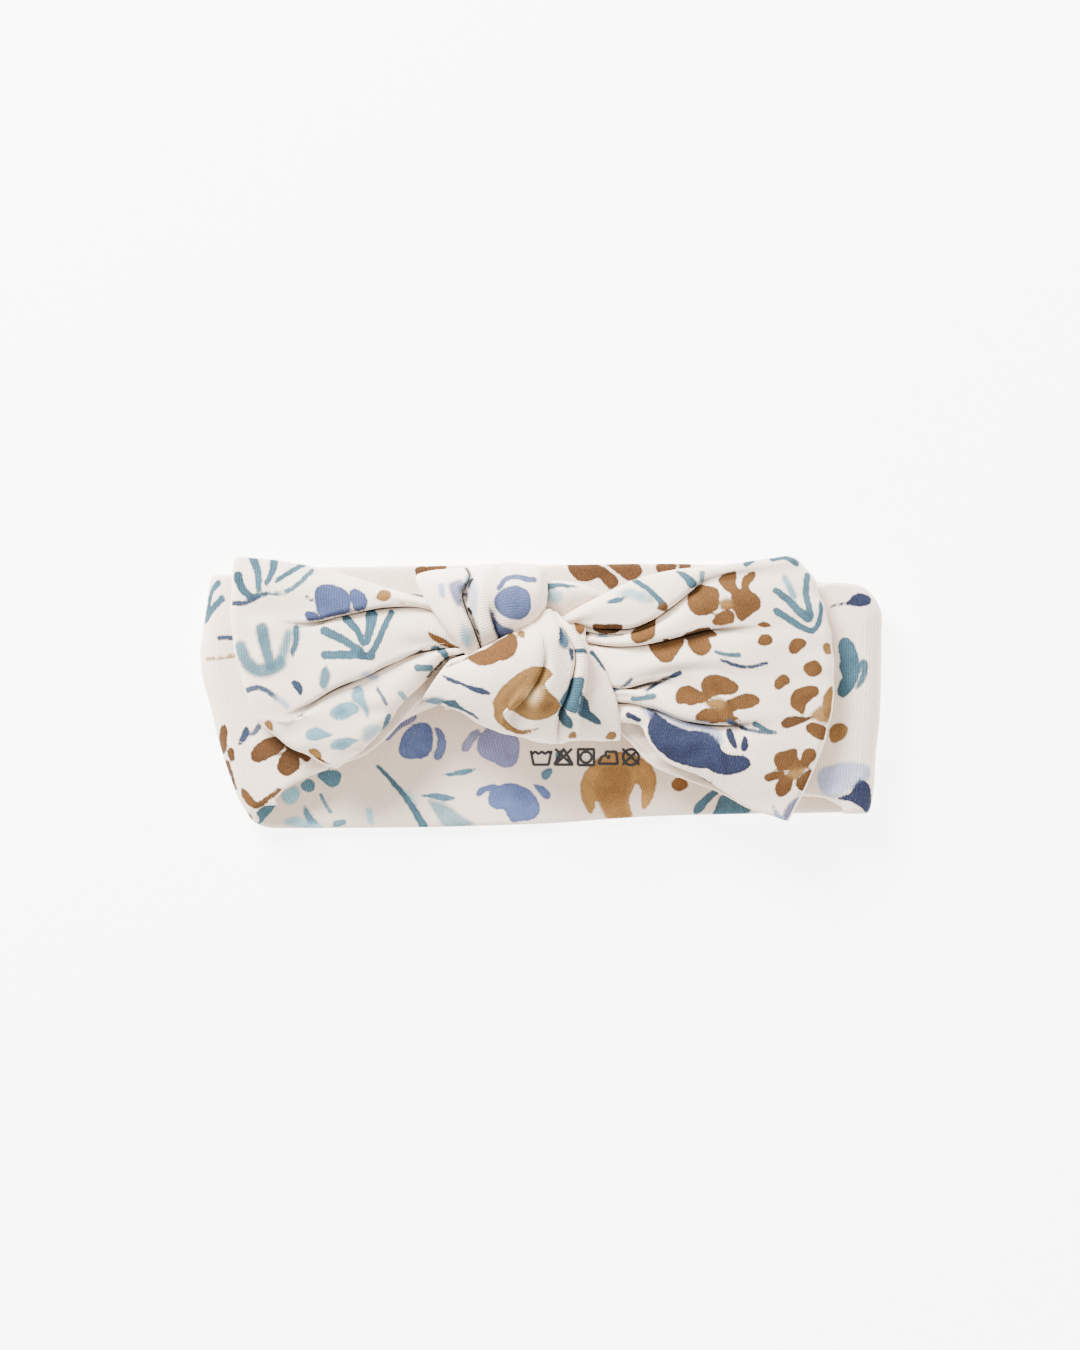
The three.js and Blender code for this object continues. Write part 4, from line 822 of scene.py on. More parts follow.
def rear_print():
    """The rear half's lower strip and top edge, its ink painted paler as painted light against the shade
    under the bow.
    """
    return [
        # painted shade: the top strip's bronze flowers in a darker copy of bronze, for the shade they lie in
        blob("shaded_bronze", [-33.3, 33.0, -29.3, 33.5, -24.8, 33.5, -25.6, 31.4, -27.7, 30.6, -30.9, 30.3,
            -33.0, 30.8]),
        blob("shaded_bronze", [7.3, 34.0, 10.8, 34.0, 15.6, 34.0, 18.8, 32.2, 21.2, 29.8, 20.9, 28.4, 18.8, 27.1,
            17.2, 28.7, 15.6, 30.3, 14.0, 29.5, 11.3, 29.2, 9.2, 30.3]),
        blob("shaded_bronze", [17.7, 34.3, 21.5, 34.3, 26.8, 34.0, 27.4, 31.6, 26.3, 30.3, 23.6, 29.5, 20.9, 31.4]),
        blob("shaded_bronze", [31.1, 34.0, 34.3, 34.3, 36.5, 34.0, 36.2, 32.2, 31.6, 31.6]),
        blob("shaded_bronze", [37.3, 34.8, 39.7, 35.1, 40.5, 33.2, 39.1, 32.2, 37.5, 32.4]),
        blob("deep_teal", [47.1, 32.7, 47.7, 34.3, 49.0, 35.6, 49.8, 34.6, 48.5, 32.4]),
        blob("violet", [-37.6, -16.2, -37.3, -13.5, -36.3, -11.1, -34.4, -9.3, -32.0, -8.2, -29.6, -8.7,
            -28.5, -11.1, -28.5, -14.1, -29.3, -16.5, -30.9, -17.8, -34.1, -18.1, -36.8, -17.6]),
        blob("lilac", [-41.6, -12.2, -39.5, -10.1, -36.8, -7.7, -33.8, -5.8, -32.8, -6.6, -33.8, -8.2,
            -36.8, -9.8, -38.9, -11.7, -40.8, -13.3]),
        blob("violet", [-28.0, -9.8, -26.4, -10.1, -25.0, -12.7, -25.0, -15.2, -26.1, -17.8, -27.4, -18.4,
            -28.5, -17.6, -27.7, -15.2, -27.4, -12.5], 0.9),
        blob("lilac", [-21.0, -15.2, -19.7, -12.5, -17.8, -10.6, -15.9, -10.1, -15.9, -11.4, -17.5, -13.5,
            -19.1, -16.0, -20.5, -16.2], 0.9),
        blob("lilac", [-16.7, -14.1, -15.9, -11.7, -14.3, -9.8, -13.3, -8.5, -10.6, -9.5, -7.4, -11.1,
            -5.5, -13.0, -5.5, -16.8, -6.3, -19.4, -9.0, -20.5, -10.6, -20.0, -12.7, -18.9, -15.1, -17.8,
            -16.5, -16.2]),
        blob("teal", [-26.4, -22.4, -23.4, -21.6, -20.2, -20.8, -17.0, -20.8, -19.1, -22.1, -22.6, -22.6,
            -25.0, -22.6]),
        blob("violet", [-13.8, -29.1, -13.5, -27.4, -12.2, -25.8, -10.1, -24.8, -7.4, -24.5, -4.7, -25.3,
            -2.6, -26.4, -1.0, -28.2, 0.1, -30.9, -0.4, -33.1, -2.3, -34.4, -4.7, -34.7, -7.4, -34.9,
            -8.7, -33.3, -9.5, -31.7, -11.7, -31.5, -13.3, -30.7]),
        blob("violet", [-17.0, -28.0, -16.5, -26.1, -14.6, -25.3, -12.2, -24.8, -10.6, -25.0, -12.2, -26.4,
            -14.3, -26.9, -16.2, -28.2]),
        blob("violet", [-1.8, -24.8, 0.1, -25.0, 2.0, -26.1, 3.0, -27.7, 2.5, -28.8, 0.9, -28.5,
            -0.4, -26.9]),
        blob("teal", [-32.0, -28.0, -28.2, -27.2, -24.5, -27.7, -22.4, -28.5, -24.0, -29.3, -27.2, -29.1,
            -29.3, -28.5]),
        blob("teal", [-29.8, -29.1, -26.6, -29.6, -23.4, -31.2, -20.7, -33.3, -17.3, -35.5, -21.3, -36.3,
            -25.6, -36.0, -27.2, -33.9, -28.8, -31.2], 0.6, 0.4),
        blob("aqua", [-36.8, -26.6, -34.1, -27.2, -32.8, -30.7, -31.4, -33.9, -33.6, -32.3,
            -36.0, -29.1], 0.6, 0.6),
        stroke("deep_teal", [-43.2, -20.0, -38.7, -24.8, -34.6, -29.9, -30.9, -36.3], 0.6, 1.7),
        blob("teal", [-59.5, -22.4, -58.2, -21.3, -55.2, -21.0, -53.1, -21.6, -53.1, -23.7, -53.9, -25.3,
            -56.0, -25.6, -57.6, -24.5]),
        blob("teal", [-63.8, -24.8, -62.7, -23.7, -60.8, -23.4, -60.0, -25.0, -60.3, -26.6, -62.2, -26.9,
            -63.5, -26.1]),
        blob("aqua", [-69.1, -27.7, -67.3, -26.1, -64.8, -25.3, -64.0, -27.2, -64.8, -29.3, -66.7, -30.4,
            -68.6, -29.3], 1.0, 0.3),
        blob("teal", [-76.3, -34.7, -75.5, -32.3, -73.7, -30.7, -71.5, -29.1, -70.2, -29.9, -71.5, -32.0,
            -73.4, -34.1, -75.0, -35.7]),
        stroke("teal", [-58.4, -27.7, -57.1, -30.4, -55.8, -32.3], 0.5, 0.6, 0.8),
        blob("teal", [-63.2, -30.1, -61.9, -31.5, -60.6, -33.3, -59.0, -35.5, -61.4, -35.7,
            -62.7, -33.9], 0.9, 0.2),
        blob("aqua", [-68.6, -34.9, -65.4, -33.3, -62.4, -34.4, -58.7, -35.2, -57.9, -36.8,
            -64.0, -36.5], 0.8, 0.4),
        stroke("teal", [-54.4, -35.5, -52.6, -34.9], 1.4, 1.2, 0.8),
        stroke("aqua", [-45.6, -32.0, -45.1, -34.9], 1.3, 1.1, 0.9, 0.4),
        blob("gold", [10.8, -25.8, 11.3, -23.2, 12.9, -20.5, 15.3, -18.1, 18.3, -16.5, 22.8, -16.2,
            26.8, -17.6, 29.5, -19.4, 31.1, -22.1, 31.1, -25.3, 30.3, -28.5, 29.0, -30.7, 27.6, -31.7,
            27.1, -29.1, 27.1, -26.4, 25.8, -24.5, 25.0, -26.4, 23.9, -28.5, 24.2, -30.7, 24.7, -33.6,
            22.6, -34.4, 18.8, -34.4, 17.2, -33.1, 16.1, -30.4, 14.8, -29.3, 14.8, -31.2, 13.5, -32.8,
            12.1, -30.7, 11.1, -28.2]),
        blob("ochre", [14.3, -26.9, 14.8, -23.2, 17.2, -20.2, 20.7, -19.2, 24.2, -20.5, 25.0, -23.2,
            24.2, -26.4, 23.4, -28.5, 23.6, -31.2, 24.4, -33.9, 19.6, -34.4, 17.2, -32.8,
            15.6, -29.9], 0.5, 0.4),
        blob("ochre", [35.1, -25.3, 35.6, -23.7, 37.5, -22.9, 39.1, -23.7, 39.7, -25.3, 38.1, -26.6,
            36.2, -26.6]),
        blob("deep_teal", [41.3, -32.8, 41.3, -30.7, 43.1, -28.8, 45.3, -26.9, 47.1, -26.1, 47.9, -27.2,
            46.1, -28.8, 44.5, -30.7, 42.9, -32.5]),
        blob("deep_teal", [48.2, -28.0, 49.8, -27.7, 52.2, -29.1, 54.9, -30.7, 56.8, -31.5, 55.4, -32.8,
            50.9, -33.1, 46.1, -33.3, 47.1, -30.7]),
        blob("teal", [0.4, -22.6, 1.2, -20.8, 3.6, -20.8, 2.5, -23.2, 1.2, -23.7]),
        blob("teal", [4.4, -16.2, 6.5, -15.7, 5.7, -17.8, 4.4, -19.4]),
    ]


def front_print():
    """The front half's two ends, out past the loops."""
    return [
        stroke("teal", [-85.1, 28.7, -87.0, 26.3, -87.8, 22.6, -89.1, 18.4], 1.3, 0.7),
        stroke("teal", [-84.0, 24.5, -86.7, 21.6, -88.5, 18.6], 1.5, 0.9),
        stroke("navy", [-84.8, 14.2, -81.1, 14.2], 0.9, 0.9, 0.9),
        stroke("gold", [-88.0, 8.6, -84.0, 8.9, -80.1, 9.7], 0.4, 0.7, 0.7),
        blob("bronze", [-85.1, -12.3, -84.6, -9.7, -83.3, -8.6, -82.5, -10.2, -82.7, -13.1, -83.0, -15.5,
            -83.8, -16.8, -84.8, -14.7]),
        blob("bronze", [-82.7, -16.3, -82.2, -14.7, -81.1, -15.0, -80.6, -17.3, -81.1, -18.9,
            -82.5, -17.6]),
        stroke("bronze", [-83.0, -18.9, -81.9, -22.1, -80.9, -25.8], 1.2, 0.8),
        stroke("ochre", [-74.0, -29.8, -71.3, -27.9, -69.0, -26.1], 1.1, 0.8),
        blob("navy", [-79.8, -14.4, -79.0, -11.5, -77.7, -9.1, -76.6, -10.5, -77.7, -13.1]),
        blob("navy", [-76.6, -12.0, -75.3, -9.4, -73.7, -7.5, -73.5, -9.4, -75.1, -11.5], 0.7),
        blob("bronze", [-76.4, -17.6, -76.1, -15.5, -74.8, -13.9, -72.7, -12.6, -70.3, -11.8, -68.2, -12.3,
            -67.4, -14.4, -68.7, -16.3, -70.8, -17.3, -72.9, -18.4, -75.1, -18.9]),
        blob("bronze", [-69.5, -20.5, -69.0, -18.1, -67.9, -16.0, -65.5, -15.0, -63.9, -16.0, -63.4, -18.7,
            -63.4, -20.2, -65.0, -21.6, -66.8, -22.4, -68.7, -21.6]),
        blob("bronze", [-67.4, -14.4, -65.5, -14.4, -62.9, -15.5, -60.2, -17.3, -61.6, -18.7, -63.9, -17.3,
            -66.1, -16.3]),
        blob("ochre", [-79.3, -26.9, -78.8, -25.5, -77.4, -26.3, -75.6, -28.5, -74.0, -29.5, -72.4, -28.2,
            -70.6, -26.6, -68.2, -25.8, -69.8, -27.4, -71.9, -29.2, -73.5, -30.6, -75.3, -31.1,
            -77.2, -30.3, -78.5, -28.7]),
        blob("gold", [-78.5, -33.2, -77.4, -32.2, -76.4, -33.2, -77.2, -35.1, -78.5, -34.5]),
        blob("indigo", [76.3, 22.4, 79.0, 23.4, 81.3, 23.9, 82.9, 25.5, 85.3, 26.1, 88.0, 24.5, 87.2, 22.9,
            84.8, 22.4, 82.4, 22.6, 80.0, 22.9, 77.6, 22.1]),
        blob("teal", [79.2, 13.6, 81.1, 14.4, 82.9, 12.8, 84.2, 9.7, 84.8, 6.2, 84.0, 2.8, 82.4, 0.1,
            80.3, -1.7, 78.7, -0.7, 79.0, 2.0, 80.0, 4.1, 79.0, 6.2, 79.5, 8.3, 79.0, 10.4]),
        blob("teal", [84.2, 7.8, 86.1, 8.6, 86.9, 7.3, 86.6, 4.1, 85.0, 1.4, 83.5, 0.4, 84.2, 3.0,
            85.0, 5.2], 0.9, 0.2),
        blob("gold", [76.8, -13.1, 76.6, -10.2, 77.9, -8.6, 80.0, -8.3, 81.6, -9.7, 81.1, -11.8,
            79.5, -13.1, 77.9, -13.6]),
        blob("sky", [73.4, -22.1, 74.7, -20.2, 77.4, -19.5, 80.8, -18.7, 84.2, -18.9, 87.2, -20.0,
            87.4, -22.9, 85.3, -23.4, 83.5, -25.0, 81.6, -26.1, 79.0, -27.4, 76.3, -27.9,
            74.2, -26.1], 0.75, 0.3),
        blob("indigo", [77.4, -28.2, 80.8, -27.4, 82.4, -26.3, 83.7, -24.2, 85.3, -23.2, 87.2, -24.5,
            88.0, -27.4, 88.0, -30.6, 86.4, -32.2, 84.8, -30.6, 82.1, -29.2, 79.5, -28.7]),
    ]


# ---- the band ----
FOLD_R = 4.4  # radius of the middle of the cloth where the loop turns back on itself
REAR_Z = 1.45  # middle of the rear half's thickness
FRONT_Z = REAR_Z + 2 * FOLD_R
# how far each stretch of cloth runs on past the join, and its dip
LAPPED = ((0.7, 0.0), (1.4, 0.0), (2.0, 0.15))
LEFT_APEX = [(-87.5, 31.0, 6), (-89.3, 18.2, 6), (-90.1, 12.3, 6), (-89.9, 5.2, 6), (-87.5, -5.0, 6),
             (-84.8, -16.1, 6), (-81.9, -25.7, 6), (-78.7, -33.7, 6), (-76.8, -36.6, 6)]
RIGHT_APEX = [(80.5, 28.1, 6), (87.4, 26.5, 6), (90.3, 23.3, 6), (90.9, 11.0, 6), (90.9, 1.7, 6),
              (89.5, -17.7, 6), (88.5, -28.9, 6), (87.7, -32.4, 6)]
PLEATS_FROM = 14  # how far from the fold the front half's pleats begin
PLEAT_HEIGHT = 0.9
CORNER_RISE = 6.5  # how far the front half's lower edge climbs as it comes round the left fold
REAR_UPPER = [(-84.1, 31.4, 2), (-64.1, 33.0, 2), (-37.3, 33.5, 2), (0.1, 33.8, 2), (42.9, 34.0, 2),
              (69.6, 31.9, 2), (77.7, 29.0, 2)]
REAR_LOWER = [(-74.2, -36.6, 2), (-56.1, -36.6, 2), (-26.6, -36.3, 2), (5.4, -35.2, 2), (26.8, -33.6, 2),
              (56.3, -32.8, 2), (84.3, -32.5, 2)]


def apex_at(fold, share):
    """Where the end fold's outermost line is, this share of the way from its upper end to its lower end."""
    inward = 1.0 if fold is LEFT_APEX else -1.0
    return smooth_line(fold, 40)[int(round(share * 40))] + (inward, 0, 0)


def rise_at(fold, share):
    """How much higher up the page the front half comes off the fold than the rear half goes into it."""
    return CORNER_RISE * share**3 if fold is LEFT_APEX else 0.0


def rear_thread(share):
    """One line of the band: from the top of its left fold, along the rear half, and up the right fold."""
    left, right = apex_at(LEFT_APEX, share), apex_at(RIGHT_APEX, share)
    rise = rise_at(LEFT_APEX, share)
    path = [[left[0] + FOLD_R + reach, left[1] + rise, FRONT_Z - dip] for reach, dip in LAPPED[::-1]]
    for a in np.linspace(math.pi / 2, -math.pi / 2, 11):
        climb = rise * (1 + math.sin(a)) / 2
        z = REAR_Z + FOLD_R * (1 + math.sin(a))
        path.append([left[0] + FOLD_R * (1 - math.cos(a)), left[1] + climb, z])
    upper, lower = smooth_line(REAR_UPPER, 12), smooth_line(REAR_LOWER, 12)
    for u, w in zip(upper[1:-1], lower[1:-1]):
        p = u + (w - u) * share
        path.append([p[0], p[1], REAR_Z])
    for a in np.linspace(-math.pi / 2, math.pi / 2, 11):
        path.append([right[0] - FOLD_R * (1 - math.cos(a)), right[1], REAR_Z + FOLD_R * (1 + math.sin(a))])
    path += [[right[0] - FOLD_R - reach, right[1], FRONT_Z - dip] for reach, dip in LAPPED]
    return smooth_line(path, 340)


LEFT_UPPER = [(-76.6, 30.3, 11), (-55.5, 26.8, 11.2), (-36.9, 21.0, 12), (-22.3, 15.7, 13)]
LEFT_LOWER = [(-71.9, -30.3, 11), (-68.4, -26.6, 11), (-63.7, -23.7, 11), (-55.7, -20.2, 11),
              (-43.3, -12.3, 11.2), (-31.6, -5.4, 12), (-22.3, -2.2, 13)]
RIGHT_UPPER = [(74.7, 28.4, 11), (58.3, 26.3, 11), (37.1, 22.6, 11.4), (23.9, 17.8, 12.2), (15.9, 14.7, 13)]
RIGHT_LOWER = [(84.2, -30.0, 11), (77.6, -28.7, 11), (70.5, -27.9, 11), (53.0, -22.6, 11),
               (34.5, -12.8, 11.6), (23.9, -6.5, 12.4), (15.9, -3.8, 13)]


def front_thread(fold, upper, lower, share):
    """One line of the band's front half, from the top of the end fold to the gather inside the knot."""
    start = apex_at(fold, share) + (0, rise_at(fold, share), 0)
    inward = 1 if fold is LEFT_APEX else -1
    path = []
    for reach, dip in LAPPED[::-1]:
        a = reach / FOLD_R
        path.append([start[0] + inward * (FOLD_R - (FOLD_R - dip) * math.sin(a)), start[1],
                     REAR_Z + FOLD_R + (FOLD_R - dip) * math.cos(a)])
    path.append([start[0] + inward * FOLD_R, start[1], FRONT_Z])
    for u, w in zip(smooth_line(upper, 9), smooth_line(lower, 9)):
        p = u + (w - u) * share
        if (p[0] - start[0]) * inward > FOLD_R + 3:
            path.append([p[0], p[1], p[2] - 11 + FRONT_Z])
    return smooth_line(path, 110)


def gathers(seed, start, height):
    """Pleats that deepen towards the knot, from start mm along the cloth."""

    def wrinkle(s, t):
        deep = np.clip((s - start) / 40, 0, 1) ** 1.5
        phase = t / np.maximum(t[-1], 1e-6) * 30
        pleat = np.sin(phase + 0.6 * np.sin(phase * 0.5 + seed))
        return ripples(s, t, seed, 55, 14) * 0.2 * np.clip((s - 3) / 9, 0, 1) + pleat * height * deep

    return wrinkle


def soft_ripples(seed, calm, busy=0.0, reach=20.0, long_mm=50, short_mm=10):
    """Fine waves of height calm, and higher by busy close to the knot end."""

    def wrinkle(s, t):
        return ripples(s, t, seed, long_mm, short_mm) * (calm + busy * np.exp(-s / reach))

    return wrinkle


def rear_wrinkles(s, t):
    """The rear half lies nearly flat: long shallow waves, a little stronger under the knot."""
    waves = ripples(s, t, 3, 60, 22) * 0.3 + ripples(s, t, 4, 17, 30, 5) * 0.14
    return waves * np.clip((np.minimum(s, s[:, -1:] - s) - 3) / 9, 0, 1)


def make_band():
    """The rear half with both end folds, and the front half's two ends, printed even where the bow lies."""
    shares = np.linspace(0, 1, 11)
    rear = Cloth("band_rear", weave([rear_thread(v) for v in shares], BAND_PITCH), rear_wrinkles, BAND_HALF)
    upward = rear.n[:, 2] > 0.15
    rear.paint(rear_print(), rear.is_face & upward, SHADED_INK)
    rear.paint(front_print(), ~rear.is_face & upward, LIT_INK)
    rear.scatter(~rear.is_face & ~upward, 21)
    x, y, _ = rear.xyz.T
    under_front = (y > 1) & (y < 20) & (np.abs(x) < 74)
    rear.scatter(rear.is_face & under_front, 22)
    fronts = []
    for name, fold, upper, lower, seed, loop_end in (
        ("band_front_left", LEFT_APEX, LEFT_UPPER, LEFT_LOWER, 5, 57),
        ("band_front_right", RIGHT_APEX, RIGHT_UPPER, RIGHT_LOWER, 6, 69),
    ):
        grid = weave([front_thread(fold, upper, lower, v) for v in shares], BAND_PITCH)
        front = Cloth(name, grid, gathers(seed, PLEATS_FROM, PLEAT_HEIGHT), BAND_HALF)
        front.paint(front_print(), front.is_face, LIT_INK)
        front.scatter(~front.is_face, seed + 30)
        under_loop = (np.abs(front.xyz[:, 0]) < loop_end) & (front.from_edge > 5)
        front.scatter(front.is_face & under_loop, seed + 40)
        fronts.append(front)
    return rear, *fronts


# ---- the bow loops ----
FRONT_COLUMNS, FOLD_COLUMNS, BACK_COLUMNS = 170, 14, 60
LOOP_FOLD_R = 2.05
LOOP_TUCK = (2.2, 2.5)  # how far the cloth turns in under a lip, and how far below it a full tuck goes
LOBE_TUCK = (1.2, 2.2)
SHUT = 0.75  # from the lip to where the next panel comes up against it, in a full tuck
FOOT = 1.5  # from the lip to where the crease's shadow ends


def loop_threads(front, back_top, back_low):
    """Each line of the front layer, carried round the outer fold and back to the knot under itself."""
    tops, lows = evenly(back_top, 6), evenly(back_low, 6)
    threads = []
    for k, given in enumerate(front):
        share = k / (len(front) - 1)
        back = tops + (lows - tops) * share
        arc = fold_arc(given, back[0][2])
        out_to_fold = smooth_line([*given[:-1], arc[0]], FRONT_COLUMNS)[:-1]
        back_to_knot = smooth_line([arc[-1], *back[1:]], BACK_COLUMNS)
        threads.append(np.concatenate([out_to_fold, evenly(arc, FOLD_COLUMNS)[:-1], back_to_knot]))
    return threads


def with_crease(thread, depth):
    """The line with a fourth value for how deep in a crease it lies, from 0 to 1."""
    return np.concatenate([thread, np.broadcast_to(depth, (len(thread), 1))], axis=1)


def tucked(threads, lips, over, drop):
    """Makes each lip a real tuck: a level shoulder, the lip, cloth turned in under it, and the next panel
    pressed up against it. The valley line after each lip says how deep the tuck is along its length."""
    out = []
    skip = -1
    for k, thread in enumerate(threads):
        if k == skip:
            continue
        if k not in lips:
            out.append(with_crease(thread, 0.0))
            continue
        above, lip, valley, below = threads[k - 1], thread, threads[k + 1], threads[k + 2]
        deep = np.clip((lip[:, 2:] - valley[:, 2:]) / drop, 0, 1)
        away = (below - above) * [1, 1, 0]
        away /= np.maximum(np.linalg.norm(away, axis=1, keepdims=True), 1e-6)
        room = np.linalg.norm((below - lip)[:, :2], axis=1, keepdims=True)
        fall = below[:, 2:] - lip[:, 2:]

        def at(open_share, shut_mm, shut_drop):
            shift = away * (room * open_share * (1 - deep) + shut_mm * deep)
            height = lip[:, 2:] + fall * open_share * (1 - deep) - shut_drop * deep
            return np.concatenate([lip[:, :2] + shift[:, :2], height], axis=1)

        behind = np.linalg.norm((lip - above)[:, :2], axis=1, keepdims=True)
        shoulder = lip - away * np.minimum(1.2, behind * 0.45)
        shoulder[:, 2] = lip[:, 2] + 0.12
        turned_in = at(0.25, -over, drop * 0.6)
        pressed = at(0.45, np.minimum(SHUT, room * 0.4), drop * 0.74)
        foot = at(0.7, np.minimum(FOOT, room * 0.7), drop * 0.72)
        out += [with_crease(shoulder, 0.0), with_crease(lip, 0.0), with_crease(turned_in, deep),
                with_crease(pressed, deep), with_crease(foot, deep * 0.14)]
        skip = k + 1
    return out


def make_loop(name, front, back_top, back_low, lips, ink, seed):
    """A loop of the bow, with its print in place in front and random motifs on its back and inside."""
    grid = weave(tucked(loop_threads(front, back_top, back_low), lips, *LOOP_TUCK))
    cloth = Cloth(name, grid, soft_ripples(seed, 0.26, 0.4, reach=26, short_mm=9))
    front_end, back_start = FRONT_COLUMNS + 4, FRONT_COLUMNS + 7
    in_front = cloth.is_face & (cloth.column <= front_end)
    cloth.paint(ink, in_front, LIT_INK)
    inner = cloth.from_edge > 7
    cloth.scatter(cloth.is_face & (cloth.column > back_start) & inner, seed + 50)
    cloth.scatter(~cloth.is_face & inner, seed + 60)
    return cloth


# ---- the knot ----
def make_lobe(name, lines, ink, seed, half=LOBE_HALF, calm=0.16, lips=()):
    """One wrap of the knot, from its listed lines."""
    grid = weave(tucked([smooth_line(points, 80) for points in lines], lips, *LOBE_TUCK), 0.5)
    cloth = Cloth(name, grid, soft_ripples(seed, calm, short_mm=7, long_mm=30), half)
    cloth.paint(ink, cloth.is_face, LIT_INK)
    cloth.scatter(~cloth.is_face, seed + 70)
    return cloth


def pleats(s, t):
    """Small even pleats along the cloth."""
    return np.sin(t * 2.1 + 0.5 * np.sin(s * 0.2)) * 0.35


def make_bundle(name, x0, x1, y0, y1, z, half, seed):
    """Cloth bunched inside the knot: a soft slab with pleats along it."""
    middle = (x0 + x1) / 2
    rows = [smooth_line([[x0, y, z], [middle, y + 0.4, z], [x1, y, z]], 60) for y in np.linspace(y1, y0, 7)]
    cloth = Cloth(name, weave(rows, 0.6), pleats, half)
    cloth.scatter(cloth.is_face, seed)
    return cloth


# ---- the care label ----
LABEL_AT = (12.4, -17.6)
SYMBOL = 2.5  # half the height of one care symbol
SYMBOL_STEP = 6.0
LINE_WIDTH = 0.7
FILM = 0.1  # thickness of the transfer
FILM_CLEAR = 0.06  # gap under it, so that it doesn't flicker through the cloth


def ring(r, count=24):
    """A closed circle of points round (0, 0)."""
    turn = [2 * math.pi * k / count for k in range(count + 1)]
    return [(r * math.cos(a), r * math.sin(a)) for a in turn]


def care_signs():
    """Laundry signs, each in a box from -1 to 1: wash, no bleach, tumble dry, iron, no dry cleaning."""
    tub = [(-1.1, 0.7), (-0.8, -0.8), (0.8, -0.8), (1.1, 0.7)]
    water = [(-1.0, 0.35), (-0.6, 0.6), (-0.3, 0.35), (0.1, 0.6), (0.4, 0.35), (0.8, 0.6), (1.0, 0.4)]
    triangle = [(-1, -0.8), (0, 0.9), (1, -0.8), (-1, -0.8)]
    cross = [[(-0.9, -0.8), (0.9, 0.9)], [(-0.9, 0.9), (0.9, -0.8)]]
    square = [(-0.85, -0.85), (0.85, -0.85), (0.85, 0.85), (-0.85, 0.85), (-0.85, -0.85)]
    iron = [(-1.1, -0.7), (1.0, -0.7), (0.8, 0.6), (-0.3, 0.6), (-0.3, 0.2), (-0.7, 0.1), (-1.1, -0.7)]
    dry, hot, cleaner = ring(0.6), ring(0.12, 8), ring(0.85)
    return [[tub, water], [triangle, *cross], [square, dry], [iron, hot], [cleaner, *cross]]


def make_care_label(rear, material):
    """The signs as a thin printed film that follows the cloth under it."""
    upward = rear.is_face & (rear.n[:, 2] > 0.5)
    verts, faces = [], []
    for k, sign in enumerate(care_signs()):
        cx = LABEL_AT[0] + (k - 2) * SYMBOL_STEP
        for path in sign:
            points = np.array([[cx + SYMBOL * x, LABEL_AT[1] + SYMBOL * y, 0] for x, y in path])
            total = np.linalg.norm(np.diff(points, axis=0), axis=1).sum()
            points = evenly(points, max(2, int(total / 0.35)))
            side = np.gradient(points, axis=0)[:, [1, 0, 2]] * [-1, 1, 0]
            side /= np.linalg.norm(side, axis=1, keepdims=True)
            base = len(verts)
            for p, q in zip(points, side):
                z = rear.locate(p[0], p[1], upward)[0][2]
                for offset, lift in ((-1, 0.0), (1, 0.0), (1, FILM), (-1, FILM)):
                    x, y, _ = p + q * offset * LINE_WIDTH / 2
                    verts.append((x * MM, y * MM, (z + FILM_CLEAR + lift) * MM))
            for i in range(len(points) - 1):
                a, b = base + 4 * i, base + 4 * i + 4
                faces += [(a + m, a + (m + 1) % 4, b + (m + 1) % 4, b + m) for m in range(4)]
            end = base + 4 * (len(points) - 1)
            faces += [(base + 3, base + 2, base + 1, base), (end, end + 1, end + 2, end + 3)]
    mesh = bpy.data.meshes.new("care_symbols")
    mesh.from_pydata(verts, [], faces)
    outward(mesh)
    mesh.materials.append(material)
    obj = bpy.data.objects.new("care_symbols", mesh)
    bpy.context.scene.collection.objects.link(obj)
    return obj


def outward(mesh):
    """Turns every face of a closed mesh outwards."""
    bm = bmesh.new()
    bm.from_mesh(mesh)
    bmesh.ops.recalc_face_normals(bm, faces=bm.faces)
    bm.to_mesh(mesh)
    bm.free()


# ---- materials ----
RIBS = 88.0  # how fast the knit's ribs go by on the cloth's map
STITCHES = 118.0
BUMP_HEIGHT = 0.00014
CREASE_PAINTED_SHADE = 0.96  # painted shade: how much darker the cloth's colour is made at the bottom of a crease
